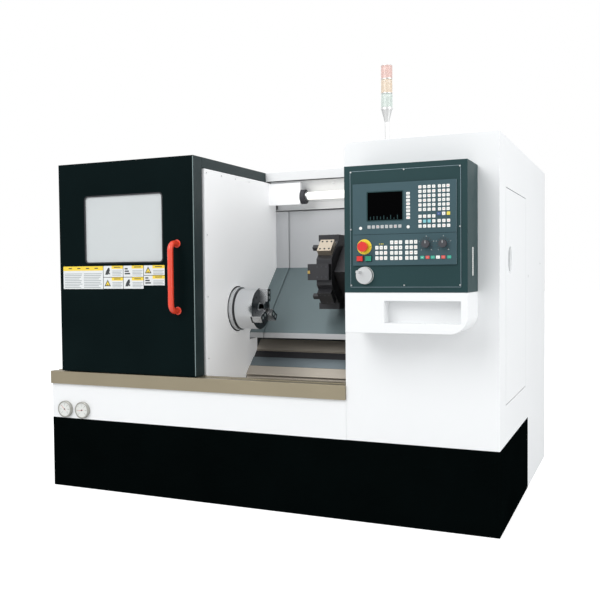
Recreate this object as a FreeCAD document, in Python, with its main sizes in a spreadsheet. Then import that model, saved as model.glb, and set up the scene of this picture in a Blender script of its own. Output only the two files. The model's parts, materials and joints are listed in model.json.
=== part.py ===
import FreeCAD, Part
import math
import os
from types import SimpleNamespace

import Sketcher

# Slant-bed turning lathe.  The row frame has +X to the machine's right, +Y to its back and +Z up, with the
# origin under the middle of its outer box.  Pieces are laid out from the front left lower corner of the
# machine: "along" runs from its left end, "back" from its front skin, "up" from the floor.

SIZES = {
    # outer body
    "machine_width": 2280, "machine_depth": 1559, "machine_height": 1650,
    "front_reach": 250, "rear_reach": 24, "skin": 4, "thin": 3, "gap": 3,
    "plinth_height": 355, "plinth_depth": 831,
    "sill_low": 531, "sill_high": 595, "sill_reach": 12, "sill_back": 90,
    "cabinet_left": 1618, "cabinet_depth": 134, "cabinet_round": 30,
    "shell_left": 60, "roof_front": 784, "roof_rim": 50,
    "headstock_front": 90, "headstock_right": 866, "headstock_top": 1594, "chamber_back": 894,
    # sliding door
    "door_left": 65, "door_right": 862, "door_low": 598, "door_high": 1648, "door_depth": 80,
    "door_top_low": 1597, "door_top_back": 780,
    "window_left": 228, "window_right": 686, "window_low": 1147, "window_high": 1479,
    "window_round": 18, "window_lap": 8, "glass": 6,
    "handle_along": 767, "handle_low": 912, "handle_high": 1233, "handle_out": 60,
    "handle_radius": 14, "handle_bend": 34,
    # control desk
    "desk_left": 1691, "desk_right": 2192, "desk_depth": 200,
    "console_low": 843, "desk_split": 1006, "desk_high": 1517, "console_round": 72,
    "pocket_left": 1857, "pocket_right": 2165, "pocket_low": 883, "pocket_high": 972, "pocket_depth": 60,
    "plate_left": 1717, "plate_right": 2167, "plate_low": 1027, "plate_high": 1495,
    "display_left": 1730, "display_right": 2151, "panel_split": 1238, "display_high": 1442,
    "operator_low": 1115, "panel_thick": 6,
    "screen_left": 1793, "screen_right": 1938, "screen_low": 1294, "screen_high": 1406,
    "key_proud": 1.5, "button_proud": 8, "button_width": 24, "button_height": 20,
    "stop_along": 1761, "start_along": 1797, "button_up": 1143,
    "mushroom_along": 1779, "mushroom_up": 1190, "mushroom_radius": 20, "mushroom_stem": 9,
    "feed_along": 2033, "speed_along": 2100, "knob_up": 1196, "knob_radius": 15, "knob_long": 20,
    "wheel_along": 1780, "wheel_up": 1075, "wheel_radius": 34, "crank_radius": 7,
    "shaft_radius": 5, "shaft_play": 0.3,
    # spindle line
    "axis_back": 420, "axis_up": 905, "spindle_radius": 60, "spindle_bore": 28, "spindle_left": 300,
    "nose_left": 872, "nose_right": 892, "nose_radius": 112, "wall_hole": 118,
    "chuck_radius": 105, "chuck_length": 110, "chuck_bore": 33,
    "slot_width": 37, "slot_depth": 12, "jaw_width": 36, "jaw_height": 46, "jaw_inner": 26, "jaw_outer": 103,
    "jaw_foot_inner": 46, "jaw_foot_length": 52, "jaw_nip_depth": 14, "jaw_nip_reach": 12,
    "pulley_left": 312, "pulley_width": 56, "pulley_radius": 85, "belt_play": 0.4, "belt_thick": 7,
    "motor_up": 300, "motor_left": 80, "motor_length": 220, "motor_radius": 120,
    # slant bed: "rise" runs up the slope, "proud" stands out from the way covers
    "slant": 45, "slope_back": 555, "slope_up": 770, "slope_top": 900, "cover_top": 1438,
    "bed_left": 400, "bed_right": 2040, "bed_proud": -150, "rail_width": 35, "rail_height": 42,
    "rail_low": 60, "rail_high": 385, "screw_rise": 240, "z_screw_proud": -115, "z_screw_radius": 20,
    "x_screw_proud": 4, "x_screw_radius": 12, "screw_play": 0.1,
    "saddle_left": 1450, "saddle_right": 1740, "saddle_low": 10, "saddle_high": 470,
    "saddle_bottom": -80, "saddle_top": -12, "x_rail_height": 30, "x_rail_width": 25,
    "cover_left": 885, "cover_right": 2078, "slide_left": 1470, "slide_right": 1720,
    "slide_low": 175, "slide_high": 395, "slide_bottom": 22, "slide_top": 60,
    "turret_rise": 246, "turret_proud": 208, "turret_left": 1310, "turret_thick": 82, "turret_flats": 314,
    "holder_width": 80, "holder_reach": 33, "holder_gap": 0.2, "bar_width": 22,
    "turret_shaft": 40, "housing_left": 1394, "housing_right": 1640,
    # side and rear doors
    "side_front": 150, "side_back": 759, "side_low": 520, "side_high": 1440, "side_fold": 16,
    "latch_back": 267, "latch_up": 1136, "latch_length": 100, "latch_width": 16, "latch_dish": 58,
    "rear_left": 1200, "rear_right": 2100, "rear_low": 450, "rear_high": 1500, "door_gap": 3,
    "switch_along": 1900, "switch_up": 1180, "switch_radius": 28,
    # beacon and lamp
    "beacon_along": 1784, "beacon_back": 90, "lens_low": 1796, "lens_high": 1983, "lens_radius": 25,
    "lamp_back": 830, "lamp_up": 1510, "lamp_radius": 21, "lamp_cap_radius": 40,
}

doc = FreeCAD.newDocument("turning_lathe")
sheet = doc.addObject("Spreadsheet::Sheet", "size")
for row, (alias, number) in enumerate(SIZES.items(), start=1):
    sheet.set(f"A{row}", alias)
    sheet.set(f"B{row}", str(number))
    sheet.setAlias(f"B{row}", alias)
doc.recompute()


class Dim:
    """A number together with the sheet expression that it comes from."""

    def __init__(self, value, text=None):
        self.value = float(value)
        self.text = text or repr(float(value))

    def join(self, other, sign, result):
        return Dim(result, f"({self.text} {sign} {dim(other).text})")

    def __add__(self, other):
        return self.join(other, "+", self.value + dim(other).value)

    def __sub__(self, other):
        return self.join(other, "-", self.value - dim(other).value)

    def __mul__(self, other):
        return self.join(other, "*", self.value * dim(other).value)

    def __truediv__(self, other):
        return self.join(other, "/", self.value / dim(other).value)

    def __rsub__(self, other):
        return dim(other) - self

    def __neg__(self):
        return dim(0) - self

    __radd__ = __add__
    __rmul__ = __mul__


def dim(number):
    return number if isinstance(number, Dim) else Dim(number)


D = SimpleNamespace(**{alias: Dim(sheet.get(alias), f"size.{alias}") for alias in SIZES})
MIDDLE_ALONG = D.machine_width / 2
MIDDLE_BACK = (D.machine_depth + D.rear_reach - D.front_reach) / 2
COS = Dim(math.cos(math.radians(D.slant.value)), "cos(size.slant * 1 deg)")
SIN = Dim(math.sin(math.radians(D.slant.value)), "sin(size.slant * 1 deg)")
parts = {}


# ---------------------------------------------------------------- helpers
def bind(thing, prop, number):
    """Set a property and tie it to the sheet."""
    number = dim(number)
    thing.setExpression(prop, number.text)


def place(thing, along, back, up, axis=(0, 0, 1), angle=0):
    thing.Placement = FreeCAD.Placement(FreeCAD.Vector(), FreeCAD.Rotation(FreeCAD.Vector(*axis), angle))
    bind(thing, "Placement.Base.x", along - MIDDLE_ALONG)
    bind(thing, "Placement.Base.y", back - MIDDLE_BACK)
    bind(thing, "Placement.Base.z", up)
    return thing


def on_slope(rise, proud):
    """Back and up of a point given along and off the slope of the way covers."""
    return (D.slope_back + rise * COS - proud * SIN, D.slope_up + rise * SIN + proud * COS)


def keep(label, thing):
    """Register a finished piece under its own label."""
    thing.Label = label
    parts[label] = thing
    return thing


def box(along, back, up, length, width, height):
    thing = doc.addObject("Part::Box", "block")
    for prop, number in (("Length", length), ("Width", width), ("Height", height)):
        bind(thing, prop, number)
    return place(thing, dim(along), dim(back), dim(up))


def span(along, back, up):
    """A block from three (low, high) pairs."""
    lows = [dim(pair[0]) for pair in (along, back, up)]
    return box(*lows, *[dim(pair[1]) - pair[0] for pair in (along, back, up)])


def slanted(along, rise, proud):
    """A block from (low, high) pairs along the machine, up the slope and out from it."""
    thing = doc.addObject("Part::Box", "slanted_block")
    for prop, pair in (("Length", along), ("Width", rise), ("Height", proud)):
        bind(thing, prop, dim(pair[1]) - pair[0])
    return place(thing, dim(along[0]), *on_slope(dim(rise[0]), dim(proud[0])), (1, 0, 0), D.slant.value)


def rod(along, back, up, radius, length, axis="right"):
    thing = doc.addObject("Part::Cylinder", "rod")
    bind(thing, "Radius", radius)
    bind(thing, "Height", length)
    turn = {"up": ((0, 0, 1), 0), "right": ((0, 1, 0), 90), "front": ((1, 0, 0), 90),
            "slope": ((1, 0, 0), D.slant.value - 90)}[axis]
    return place(thing, dim(along), dim(back), dim(up), *turn)


def cut(base, *tools):
    thing = doc.addObject("Part::Cut", "cut")
    thing.Base = base
    thing.Tool = tools[0] if len(tools) == 1 else fuse(*tools)
    return thing


def fuse(*shapes):
    thing = doc.addObject("Part::MultiFuse", "joined")
    thing.Shapes = list(shapes)
    thing.Refine = True
    return thing


def group(*members):
    thing = doc.addObject("Part::Compound", "group")
    thing.Links = list(members)
    return thing


def rounded(base, picks, radius):
    """Round the straight edges whose middle lies at one of the picked (x, y, z); None matches any value."""
    doc.recompute()
    chosen = []
    for number, edge in enumerate(base.Shape.Edges, start=1):
        middle = edge.valueAt((edge.FirstParameter + edge.LastParameter) / 2)
        for pick in picks:
            if all(want is None or abs(want - have) < 0.5 for want, have in zip(pick, middle)):
                chosen.append((number, radius.value, radius.value))
    if not chosen:
        raise RuntimeError(f"no edge to round on {base.Name}")
    thing = doc.addObject("Part::Fillet", "rounded")
    thing.Base = base
    thing.Edges = chosen
    return thing


def shell(along, back, up, open_side, wall=None):
    """A folded sheet box with one open side, named by the axis letter and its end."""
    wall = wall or D.skin
    pairs = {"x": list(along), "y": list(back), "z": list(up)}
    inner = {}
    for letter, (low, high) in pairs.items():
        inner[letter] = (dim(low) + wall, dim(high) - wall)
    letter, end = open_side
    low, high = inner[letter]
    inner[letter] = (low, high + wall * 2) if end == "+" else (low - wall * 2, high)
    return cut(span(along, back, up), span(inner["x"], inner["y"], inner["z"]))


def drawn(body, name, plane, outline):
    """A sketch of a closed outline on one of the body's own origin planes, tied to the sheet."""
    sketch = body.newObject("Sketcher::SketchObject", name)
    sketch.AttachmentSupport = [(next(f for f in body.Origin.OriginFeatures if f.Role == plane), "")]
    sketch.MapMode = "FlatFace"
    points = [(dim(x), dim(y)) for x, y in outline]
    corners = [FreeCAD.Vector(x.value, y.value, 0) for x, y in points]
    count = len(corners)
    for index, corner in enumerate(corners):
        sketch.addGeometry(Part.LineSegment(corner, corners[(index + 1) % count]))
    for index in range(count):
        sketch.addConstraint(Sketcher.Constraint("Coincident", index, 2, (index + 1) % count, 1))
    for index, (x, y) in enumerate(points):
        pin(sketch, index, 1, x, y)
    return sketch


def outline_body(label, plane, outline, depth, at, circles=()):
    """A padded outline with optional round holes, as a body on one of its own origin planes."""
    body = doc.addObject("PartDesign::Body", label)
    sketch = drawn(body, label + "_outline", plane, outline)
    for x, y, radius in circles:
        x, y, radius = dim(x), dim(y), dim(radius)
        centre = FreeCAD.Vector(x.value, y.value, 0)
        index = sketch.addGeometry(Part.Circle(centre, FreeCAD.Vector(0, 0, 1), radius.value))
        row = sketch.addConstraint(Sketcher.Constraint("Radius", index, radius.value))
        bind(sketch, f"Constraints[{row}]", radius)
        pin(sketch, index, 3, x, y)
    pad = body.newObject("PartDesign::Pad", label + "_pad")
    pad.Profile = sketch
    bind(pad, "Length", depth)
    place(body, *[dim(number) for number in at])
    return body


def pin(sketch, index, point, x, y):
    """Tie a sketch point's distances from the sketch's origin to the sheet."""
    for kind, number in (("DistanceX", x), ("DistanceY", y)):
        row = sketch.addConstraint(Sketcher.Constraint(kind, -1, 1, index, point, number.value))
        bind(sketch, f"Constraints[{row}]", number)


def spun(label, outline, at):
    """A turned piece about the machine's X direction; the outline gives (along, radius) points."""
    body = doc.addObject("PartDesign::Body", label)
    sketch = drawn(body, label + "_half", "XZ_Plane", outline)
    turned = body.newObject("PartDesign::Revolution", label + "_turned")
    turned.Profile = sketch
    turned.ReferenceAxis = (sketch, ["H_Axis"])
    turned.Angle = 360
    place(body, *[dim(number) for number in at])
    return body


# ---------------------------------------------------------------- base and bed
FOOT_HEIGHT = 40
BASE_END = D.plinth_depth
keep("base_plinth", fuse(
    span((0, D.machine_width), (0, D.skin), (0, D.plinth_height)),
    span((0, D.skin), (0, BASE_END), (0, D.plinth_height)),
    span((D.machine_width - D.skin, D.machine_width), (0, BASE_END), (0, D.plinth_height))))

feet = []
for foot_along in (460, 1220, 1980):
    for foot_back in (170, 690):
        feet.append(fuse(rod(foot_along, foot_back, 0, 45, 18, "up"),
                         rod(foot_along, foot_back, 0, 12, FOOT_HEIGHT, "up")))
keep("levelling_feet", group(*feet))

BED_LOW_RISE, BED_HIGH_RISE = -40, 470
bed_outline = [(100, FOOT_HEIGHT), (760, FOOT_HEIGHT), (1040, 640), (1040, 950),
               on_slope(dim(BED_HIGH_RISE), D.bed_proud), on_slope(dim(BED_LOW_RISE), D.bed_proud),
               (540, 430), (100, 330)]
keep("bed_casting", outline_body("bed_casting", "YZ_Plane", bed_outline, D.bed_right - D.bed_left,
                                 (D.bed_left, 0, 0),
                                 [(330, 195, 110), (600, 220, 110), (820, 540, 110), (950, 760, 65)]))
keep("z_guide_rails", group(*[slanted((D.headstock_right + 14, D.bed_right - 4), (rise, rise + D.rail_width),
                                      (D.bed_proud, D.bed_proud + D.rail_height))
                              for rise in (D.rail_low, D.rail_high)]))

# ---------------------------------------------------------------- outer skins
GAUGES = (87, 195)
GAUGE_UP = 401
GAUGE_RADIUS, GAUGE_PROUD = 42, 14
GAUGE_STEM_RADIUS, GAUGE_STEM_BACK = 26, 36
GAUGE_HOLE = 27
FRONT_FOLD = 40
front_panel = shell((0, D.cabinet_left), (0, FRONT_FOLD), (D.plinth_height, D.sill_low), "y+")
keep("lower_front_panel", cut(front_panel, *[rod(along, 50, GAUGE_UP, GAUGE_HOLE, 100, "front") for along in GAUGES]))
keep("pressure_gauges", group(*[
    fuse(rod(along, 0, GAUGE_UP, GAUGE_RADIUS, GAUGE_PROUD, "front"),
         rod(along, GAUGE_STEM_BACK, GAUGE_UP, GAUGE_STEM_RADIUS, GAUGE_STEM_BACK, "front"))
    for along in GAUGES]))
TRACK_FRONT, TRACK_WIDTH, TRACK_DEPTH = 30, 20, 12
keep("door_sill", cut(span((0, D.cabinet_left), (-D.sill_reach, D.sill_back), (D.sill_low, D.sill_high)),
                      span((-1, D.cabinet_left + 1), (TRACK_FRONT, TRACK_FRONT + TRACK_WIDTH),
                           (D.sill_high - TRACK_DEPTH, D.sill_high + 1))))
SIDE_BACK = D.machine_depth - D.skin
keep("left_side_panel", fuse(
    span((0, D.skin), (FRONT_FOLD + 4, SIDE_BACK), (D.plinth_height, D.sill_low)),
    span((0, D.shell_left + D.skin), (D.sill_back + 4, SIDE_BACK), (D.sill_low - D.skin, D.sill_low)),
    span((D.shell_left, D.shell_left + D.skin), (D.headstock_front, SIDE_BACK),
         (D.sill_low, D.headstock_top)),
    span((0, D.skin), (BASE_END + 2, SIDE_BACK), (0, D.plinth_height))))
COVER_TOP = D.headstock_top
keep("headstock_cover", fuse(
    span((D.shell_left + D.skin, D.headstock_right), (D.headstock_front, D.headstock_front + D.skin),
         (D.sill_high, COVER_TOP)),
    span((D.shell_left + D.skin, D.headstock_right), (D.headstock_front, D.roof_front - 4),
         (COVER_TOP - D.skin, COVER_TOP))))

WALL_LOW, CHUTE_FOOT = 480, 500
LIP_LOW = D.slope_up - 34
wall_rise = D.chamber_back - D.slope_back
wall_outline = [(D.headstock_front, WALL_LOW), (D.headstock_front, D.headstock_top), (822, D.headstock_top),
                (D.chamber_back, 1508), (D.chamber_back, D.slope_up + wall_rise + 10),
                (D.slope_back - 8, D.slope_up + 2), (D.slope_back - 8, LIP_LOW), (636, LIP_LOW), (636, 676),
                (CHUTE_FOOT, 540), (CHUTE_FOOT, WALL_LOW)]
keep("headstock_side_wall", outline_body("headstock_side_wall", "YZ_Plane", wall_outline, D.skin,
                                         (D.headstock_right, 0, 0), [(D.axis_back, D.axis_up, D.wall_hole)]))

HEADER_TOP, HEADER_FOLD, HEADER_LOW = 1600, 1486, 1444
header_outline = [(822, HEADER_TOP), (918, HEADER_FOLD), (918, HEADER_LOW + 3), (886, HEADER_LOW + 3),
                  (886, HEADER_LOW), (921, HEADER_LOW), (921, HEADER_FOLD + 1), (825, HEADER_TOP)]
keep("chamber_header", outline_body("chamber_header", "YZ_Plane", header_outline,
                                    D.machine_width - D.skin - D.headstock_right - D.skin,
                                    (D.headstock_right + D.skin, 0, 0)))

ROOF_LOW = D.machine_height - D.roof_rim
ROOF_SKIN_LOW = D.machine_height - D.skin
RIGHT_INSIDE = D.machine_width - D.skin
keep("roof", fuse(
    span((D.shell_left, D.cabinet_left + D.skin), (D.roof_front, SIDE_BACK),
         (ROOF_SKIN_LOW, D.machine_height)),
    span((D.shell_left, D.cabinet_left + D.skin), (D.roof_front, D.roof_front + D.skin),
         (ROOF_LOW, D.machine_height)),
    span((D.cabinet_left, RIGHT_INSIDE), (D.cabinet_depth, SIDE_BACK), (ROOF_SKIN_LOW, D.machine_height)),
    span((D.cabinet_left, D.cabinet_left + D.skin), (D.cabinet_depth, D.roof_front + D.skin),
         (ROOF_LOW, D.machine_height)),
    span((D.shell_left, D.shell_left + D.skin), (D.roof_front, SIDE_BACK),
         (D.headstock_top, D.machine_height))))

cabinet_corner = ((D.cabinet_left - MIDDLE_ALONG).value, None, D.machine_height.value)
outer_cabinet = rounded(span((D.cabinet_left, D.machine_width), (0, D.cabinet_depth),
                             (D.plinth_height, D.machine_height)), [cabinet_corner], D.cabinet_round)
inner_corner = ((D.cabinet_left + D.skin - MIDDLE_ALONG).value, None, (D.machine_height - D.skin).value)
inner_cabinet = rounded(span((D.cabinet_left + D.skin, RIGHT_INSIDE), (D.skin, D.cabinet_depth + 1),
                             (D.plinth_height + D.skin, ROOF_SKIN_LOW)), [inner_corner],
                        D.cabinet_round - D.skin)
keep("right_front_cabinet", cut(outer_cabinet, inner_cabinet))

side_outline = [(D.cabinet_depth, D.plinth_height), (D.cabinet_depth, D.machine_height),
                (D.machine_depth, D.machine_height), (D.machine_depth, 0), (BASE_END, 0),
                (BASE_END, D.plinth_height)]
side_panel = outline_body("side_blank", "YZ_Plane", side_outline, D.skin, (RIGHT_INSIDE, 0, 0))
side_opening = span((RIGHT_INSIDE - 1, D.machine_width + 1), (D.side_front, D.side_back),
                    (D.side_low, D.side_high))
keep("right_side_panel", cut(side_panel, side_opening))

rear_outline = span((0, RIGHT_INSIDE), (SIDE_BACK, D.machine_depth), (0, D.machine_height))
rear_opening = span((D.rear_left, D.rear_right), (SIDE_BACK - 1, D.machine_depth + 1),
                    (D.rear_low, D.rear_high))
rear_step = span((-1, D.shell_left), (SIDE_BACK - 1, D.machine_depth + 1), (D.sill_low, D.machine_height + 1))
keep("rear_panel", cut(rear_outline, rear_opening, rear_step))


# ---------------------------------------------------------------- way covers and chute
def cover_sheet(left, right, shift):
    """A folded cover: lip, slope and upright part, moved back from the sliding cover's place by shift."""
    rise = D.slope_top - D.slope_back
    face = [(D.slope_back, LIP_LOW + 8), (D.slope_back, D.slope_up + 2), (D.slope_top, D.slope_up + 2 + rise),
            (D.slope_top, D.cover_top)]
    back = [(x + D.thin, y - (D.thin / 2 if index in (1, 2) else 0)) for index, (x, y) in enumerate(face)]
    return outline_body("cover", "YZ_Plane", face + back[::-1], dim(right) - left, (left, shift, 0))


keep("way_cover_fixed", group(cover_sheet(870, 950, -8), cover_sheet(872, 1140, 8),
                              cover_sheet(1922, 2258, 8)))
chute_top_rise = 35
chute_proud = -124
chute_back, chute_up = on_slope(dim(chute_top_rise), dim(chute_proud))
PAN_LOW, PAN_FRONT = 446, 138
chute_outline = [(PAN_FRONT, WALL_LOW + 20), (PAN_FRONT, PAN_LOW), (CHUTE_FOOT + 3, PAN_LOW),
                 (CHUTE_FOOT + 3, chute_up - chute_back + CHUTE_FOOT), (chute_back + 2, chute_up - 2),
                 (chute_back, chute_up), (CHUTE_FOOT, chute_up - chute_back + CHUTE_FOOT),
                 (CHUTE_FOOT, PAN_LOW + 3), (PAN_FRONT + 3, PAN_LOW + 3), (PAN_FRONT + 3, WALL_LOW + 20)]
keep("chip_chute", outline_body("chip_chute", "YZ_Plane", chute_outline, 2180 - D.nose_left,
                                (D.nose_left, 0, 0)))

# ---------------------------------------------------------------- work lamp
LAMP_LEFT, LAMP_CAP, LAMP_RIGHT = 1061, 1087, 1900
keep("work_lamp", group(
    span((D.headstock_right + D.skin, LAMP_LEFT), (802, 822), (1468, 1588)),
    rod(LAMP_LEFT, D.lamp_back, D.lamp_up, D.lamp_cap_radius, LAMP_CAP - LAMP_LEFT),
    rod(LAMP_CAP, D.lamp_back, D.lamp_up + 4, D.lamp_radius, LAMP_RIGHT - LAMP_CAP),
    rod(LAMP_RIGHT, D.lamp_back, D.lamp_up, D.lamp_cap_radius, LAMP_CAP - LAMP_LEFT)))

# ---------------------------------------------------------------- headstock, spindle, drive
HEAD_LEFT, HEAD_RIGHT, NOSE_BLOCK = 400, 690, 800
head_points = [(-30, D.bed_proud), (430, D.bed_proud), (430, -70), (170, 60), (150, 320), (-150, 320),
               (-150, 60), (-40, -60)]
head_outline = [on_slope(dim(rise), dim(proud)) for rise, proud in head_points]
head_block = outline_body("head_block", "YZ_Plane", head_outline, HEAD_RIGHT - HEAD_LEFT, (HEAD_LEFT, 0, 0))
head_nose = rod(HEAD_RIGHT - 10, D.axis_back, D.axis_up, D.chuck_radius, NOSE_BLOCK - HEAD_RIGHT + 10)
head_bore = rod(HEAD_LEFT - 1, D.axis_back, D.axis_up, D.spindle_radius + 0.06, NOSE_BLOCK - HEAD_LEFT + 2)
keep("headstock_casting", cut(fuse(head_block, head_nose), head_bore))

spindle_long = D.nose_left - D.spindle_left
keep("spindle", spun("spindle", [
    (0, D.spindle_bore), (0, D.spindle_radius - 4), (4, D.spindle_radius), (spindle_long, D.spindle_radius),
    (spindle_long, D.nose_radius), (D.nose_right - D.spindle_left, D.nose_radius),
    (D.nose_right - D.spindle_left, D.spindle_bore)], (D.spindle_left, D.axis_back, D.axis_up)))
keep("spindle_pulley", cut(
    rod(D.pulley_left, D.axis_back, D.axis_up, D.pulley_radius, D.pulley_width),
    rod(D.pulley_left - 1, D.axis_back, D.axis_up, D.spindle_radius, D.pulley_width + 2)))


def slot_block(radius, left, width):
    """A block with round ends round both pulleys."""
    return fuse(rod(left, D.axis_back, D.axis_up, radius, width),
                rod(left, D.axis_back, D.motor_up, radius, width),
                box(left, D.axis_back - radius, D.motor_up, width, radius * 2, D.axis_up - D.motor_up))


belt_inner = D.pulley_radius + D.belt_play
keep("drive_belt", cut(slot_block(belt_inner + D.belt_thick, D.pulley_left + 3, D.pulley_width - 6),
                       slot_block(belt_inner, D.pulley_left + 2, D.pulley_width - 4)))
MOTOR_FOOT_INSET, MOTOR_FOOT_LONG = 30, 160
MOTOR_FOOT_HALF = 100
MOTOR_FOOT_OVERLAP = 20
keep("spindle_motor", fuse(
    rod(D.motor_left, D.axis_back, D.motor_up, D.motor_radius, D.motor_length),
    span((D.motor_left + MOTOR_FOOT_INSET, D.motor_left + MOTOR_FOOT_INSET + MOTOR_FOOT_LONG),
         (D.axis_back - MOTOR_FOOT_HALF, D.axis_back + MOTOR_FOOT_HALF),
         (0, D.motor_up - D.motor_radius + MOTOR_FOOT_OVERLAP))))
motor_shaft_left = D.motor_left + D.motor_length + 2
keep("motor_pulley", fuse(
    rod(motor_shaft_left, D.axis_back, D.motor_up, 21, D.pulley_left - motor_shaft_left + 1),
    rod(D.pulley_left, D.axis_back, D.motor_up, D.pulley_radius, D.pulley_width)))

# chuck: a turned body with three radial slots in its face
SLOT_INNER = 20
SLOT_OVERRUN = 5
chuck = spun("chuck_body", [
    (0, D.chuck_bore), (0, D.chuck_radius - 4), (4, D.chuck_radius), (D.chuck_length - 3, D.chuck_radius),
    (D.chuck_length, D.chuck_radius - 3), (D.chuck_length, D.chuck_bore)],
    (D.nose_right, D.axis_back, D.axis_up))
doc.recompute()
whole_volume = chuck.Shape.Volume
half_slot = D.slot_width / 2
slot_end = D.chuck_radius + SLOT_OVERRUN
slot_sketch = drawn(chuck, "jaw_slot_outline", "YZ_Plane", (
    (-half_slot, SLOT_INNER), (half_slot, SLOT_INNER), (half_slot, slot_end), (-half_slot, slot_end)))
bind(slot_sketch, "AttachmentOffset.Base.z", D.chuck_length)
slot = chuck.newObject("PartDesign::Pocket", "jaw_slot")
slot.Profile = slot_sketch
bind(slot, "Length", D.slot_depth)
doc.recompute()
slots = chuck.newObject("PartDesign::PolarPattern", "jaw_slots")
slots.Originals = [slot]
slots.Axis = (slot_sketch, ["N_Axis"])
slots.Angle = 360
slots.Occurrences = 3
chuck.Tip = slots
doc.recompute()
if not chuck.Shape.Volume < whole_volume - 1000:
    raise RuntimeError("the jaw slots cut nothing")
keep("chuck_body", chuck)


FACE_PLAY = 0.4


def jaw(number):
    """A block jaw with its foot in the chuck's slot and a nip cut at its inner end, turned to its place."""
    half, width = D.jaw_width.value / 2, D.jaw_width.value
    foot = Part.makeBox(D.slot_depth.value, width, D.jaw_foot_length.value,
                        FreeCAD.Vector((0.5 - D.slot_depth).value, -half, D.jaw_foot_inner.value))
    block = Part.makeBox(D.jaw_height.value, width, (D.jaw_outer - D.jaw_inner).value,
                         FreeCAD.Vector(FACE_PLAY, -half, D.jaw_inner.value))
    nip = Part.makeBox(D.jaw_nip_depth.value + 1, width + 2, D.jaw_nip_reach.value + 1,
                       FreeCAD.Vector((D.jaw_height - D.jaw_nip_depth).value + FACE_PLAY, -half - 1,
                                      D.jaw_inner.value - 1))
    thing = doc.addObject("Part::Feature", f"jaw_{number}")
    thing.Shape = foot.fuse(block).cut(nip).removeSplitter()
    place(thing, D.nose_right + D.chuck_length, D.axis_back, D.axis_up, (1, 0, 0), 120 * (number - 1))
    return keep(f"chuck_jaw_{number}", thing)


for jaw_number in (1, 2, 3):
    jaw(jaw_number)

# ---------------------------------------------------------------- carriage
RAIL_PLAY = 0.6
CARRIAGE_ALONG = (D.saddle_left, D.saddle_right)
blocks = []
for rail_rise in (D.rail_low, D.rail_high):
    for block_left in (D.saddle_left + 10, D.saddle_right - 90):
        blocks.append(slanted((block_left, block_left + 80), (rail_rise - 20, rail_rise + D.rail_width + 20),
                              (-132, D.saddle_bottom)))
rail_grooves = [slanted((D.saddle_left - 1, D.saddle_right + 1),
                        (rise - RAIL_PLAY, rise + D.rail_width + RAIL_PLAY),
                        (D.bed_proud, D.bed_proud + D.rail_height + RAIL_PLAY))
                for rise in (D.rail_low, D.rail_high)]
nut_middle = (D.saddle_left + D.saddle_right) / 2
NUT_HALF_LONG, NUT_HALF_WIDE, NUT_BOTTOM = 45, 36, -144
nut = slanted((nut_middle - NUT_HALF_LONG, nut_middle + NUT_HALF_LONG),
              (D.screw_rise - NUT_HALF_WIDE, D.screw_rise + NUT_HALF_WIDE), (NUT_BOTTOM, D.saddle_bottom))
x_rails = [slanted((left, left + D.x_rail_width), (20, 460), (D.saddle_top, D.saddle_top + D.x_rail_height))
           for left in (D.slide_left + 10, D.slide_right - 10 - D.x_rail_width)]
screw_bore = rod(D.saddle_left - 1, *on_slope(D.screw_rise, D.z_screw_proud), D.z_screw_radius + D.screw_play,
                 D.saddle_right - D.saddle_left + 2)
x_trough = slanted((nut_middle - 26, nut_middle + 26), (0, D.saddle_high + 1), (-30, D.saddle_top + 1))
saddle_block = slanted(CARRIAGE_ALONG, (D.saddle_low, D.saddle_high), (D.saddle_bottom, D.saddle_top))
keep("saddle", cut(fuse(saddle_block, nut, *blocks, *x_rails), *rail_grooves, screw_bore, x_trough))
SHIELD_LOW = 1190
keep("way_cover_moving", group(
    cover_sheet(D.cover_left, D.saddle_left, 0), cover_sheet(D.saddle_right, D.cover_right, 0),
    span((D.saddle_left + 1, D.saddle_right - 1), (D.slope_top, D.slope_top + D.thin),
         (SHIELD_LOW, D.cover_top))))
X_MOTOR_LOW, X_MOTOR_HIGH = 512, 650
keep("x_motor", fuse(slanted((nut_middle - 50, nut_middle + 50), (X_MOTOR_LOW, X_MOTOR_HIGH), (-72, 0)),
                     slanted((nut_middle - 60, nut_middle + 60), (D.saddle_high, X_MOTOR_LOW), (-72, -30))))
keep("z_screw", rod(D.headstock_right + 20, *on_slope(D.screw_rise, D.z_screw_proud), D.z_screw_radius,
                    D.bed_right - D.headstock_right - 24))
keep("z_motor", slanted((D.bed_right + 2, D.bed_right + 150), (D.screw_rise - 60, D.screw_rise + 60),
                        (D.z_screw_proud - 60, D.z_screw_proud + 60)))
X_SCREW_LOW, X_SCREW_HIGH = 40, 500
keep("x_screw", rod(nut_middle, *on_slope(dim(X_SCREW_LOW), D.x_screw_proud), D.x_screw_radius,
                    X_SCREW_HIGH - X_SCREW_LOW, "slope"))

# ---------------------------------------------------------------- cross slide and turret
slide_plate = slanted((D.slide_left, D.slide_right), (D.slide_low, D.slide_high),
                      (D.slide_bottom, D.slide_top))
x_blocks = []
x_grooves = []
for left in (D.slide_left + 10, D.slide_right - 10 - D.x_rail_width):
    x_blocks.append(slanted((left - 10, left + D.x_rail_width + 10), (D.slide_low + 10, D.slide_high - 10),
                            (-6, D.slide_bottom)))
    x_grooves.append(slanted((left - RAIL_PLAY, left + D.x_rail_width + RAIL_PLAY),
                             (D.slide_low - 1, D.slide_high + 1),
                             (-10, D.saddle_top + D.x_rail_height + RAIL_PLAY)))
x_nut = slanted((nut_middle - 22, nut_middle + 22), (D.turret_rise - 35, D.turret_rise + 35),
                (-18, D.slide_bottom))
x_bore = rod(nut_middle, *on_slope(D.slide_low - 1, D.x_screw_proud), D.x_screw_radius + D.screw_play,
             D.slide_high - D.slide_low + 2, "slope")
keep("cross_slide", cut(fuse(slide_plate, x_nut, *x_blocks), *x_grooves, x_bore))

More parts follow.
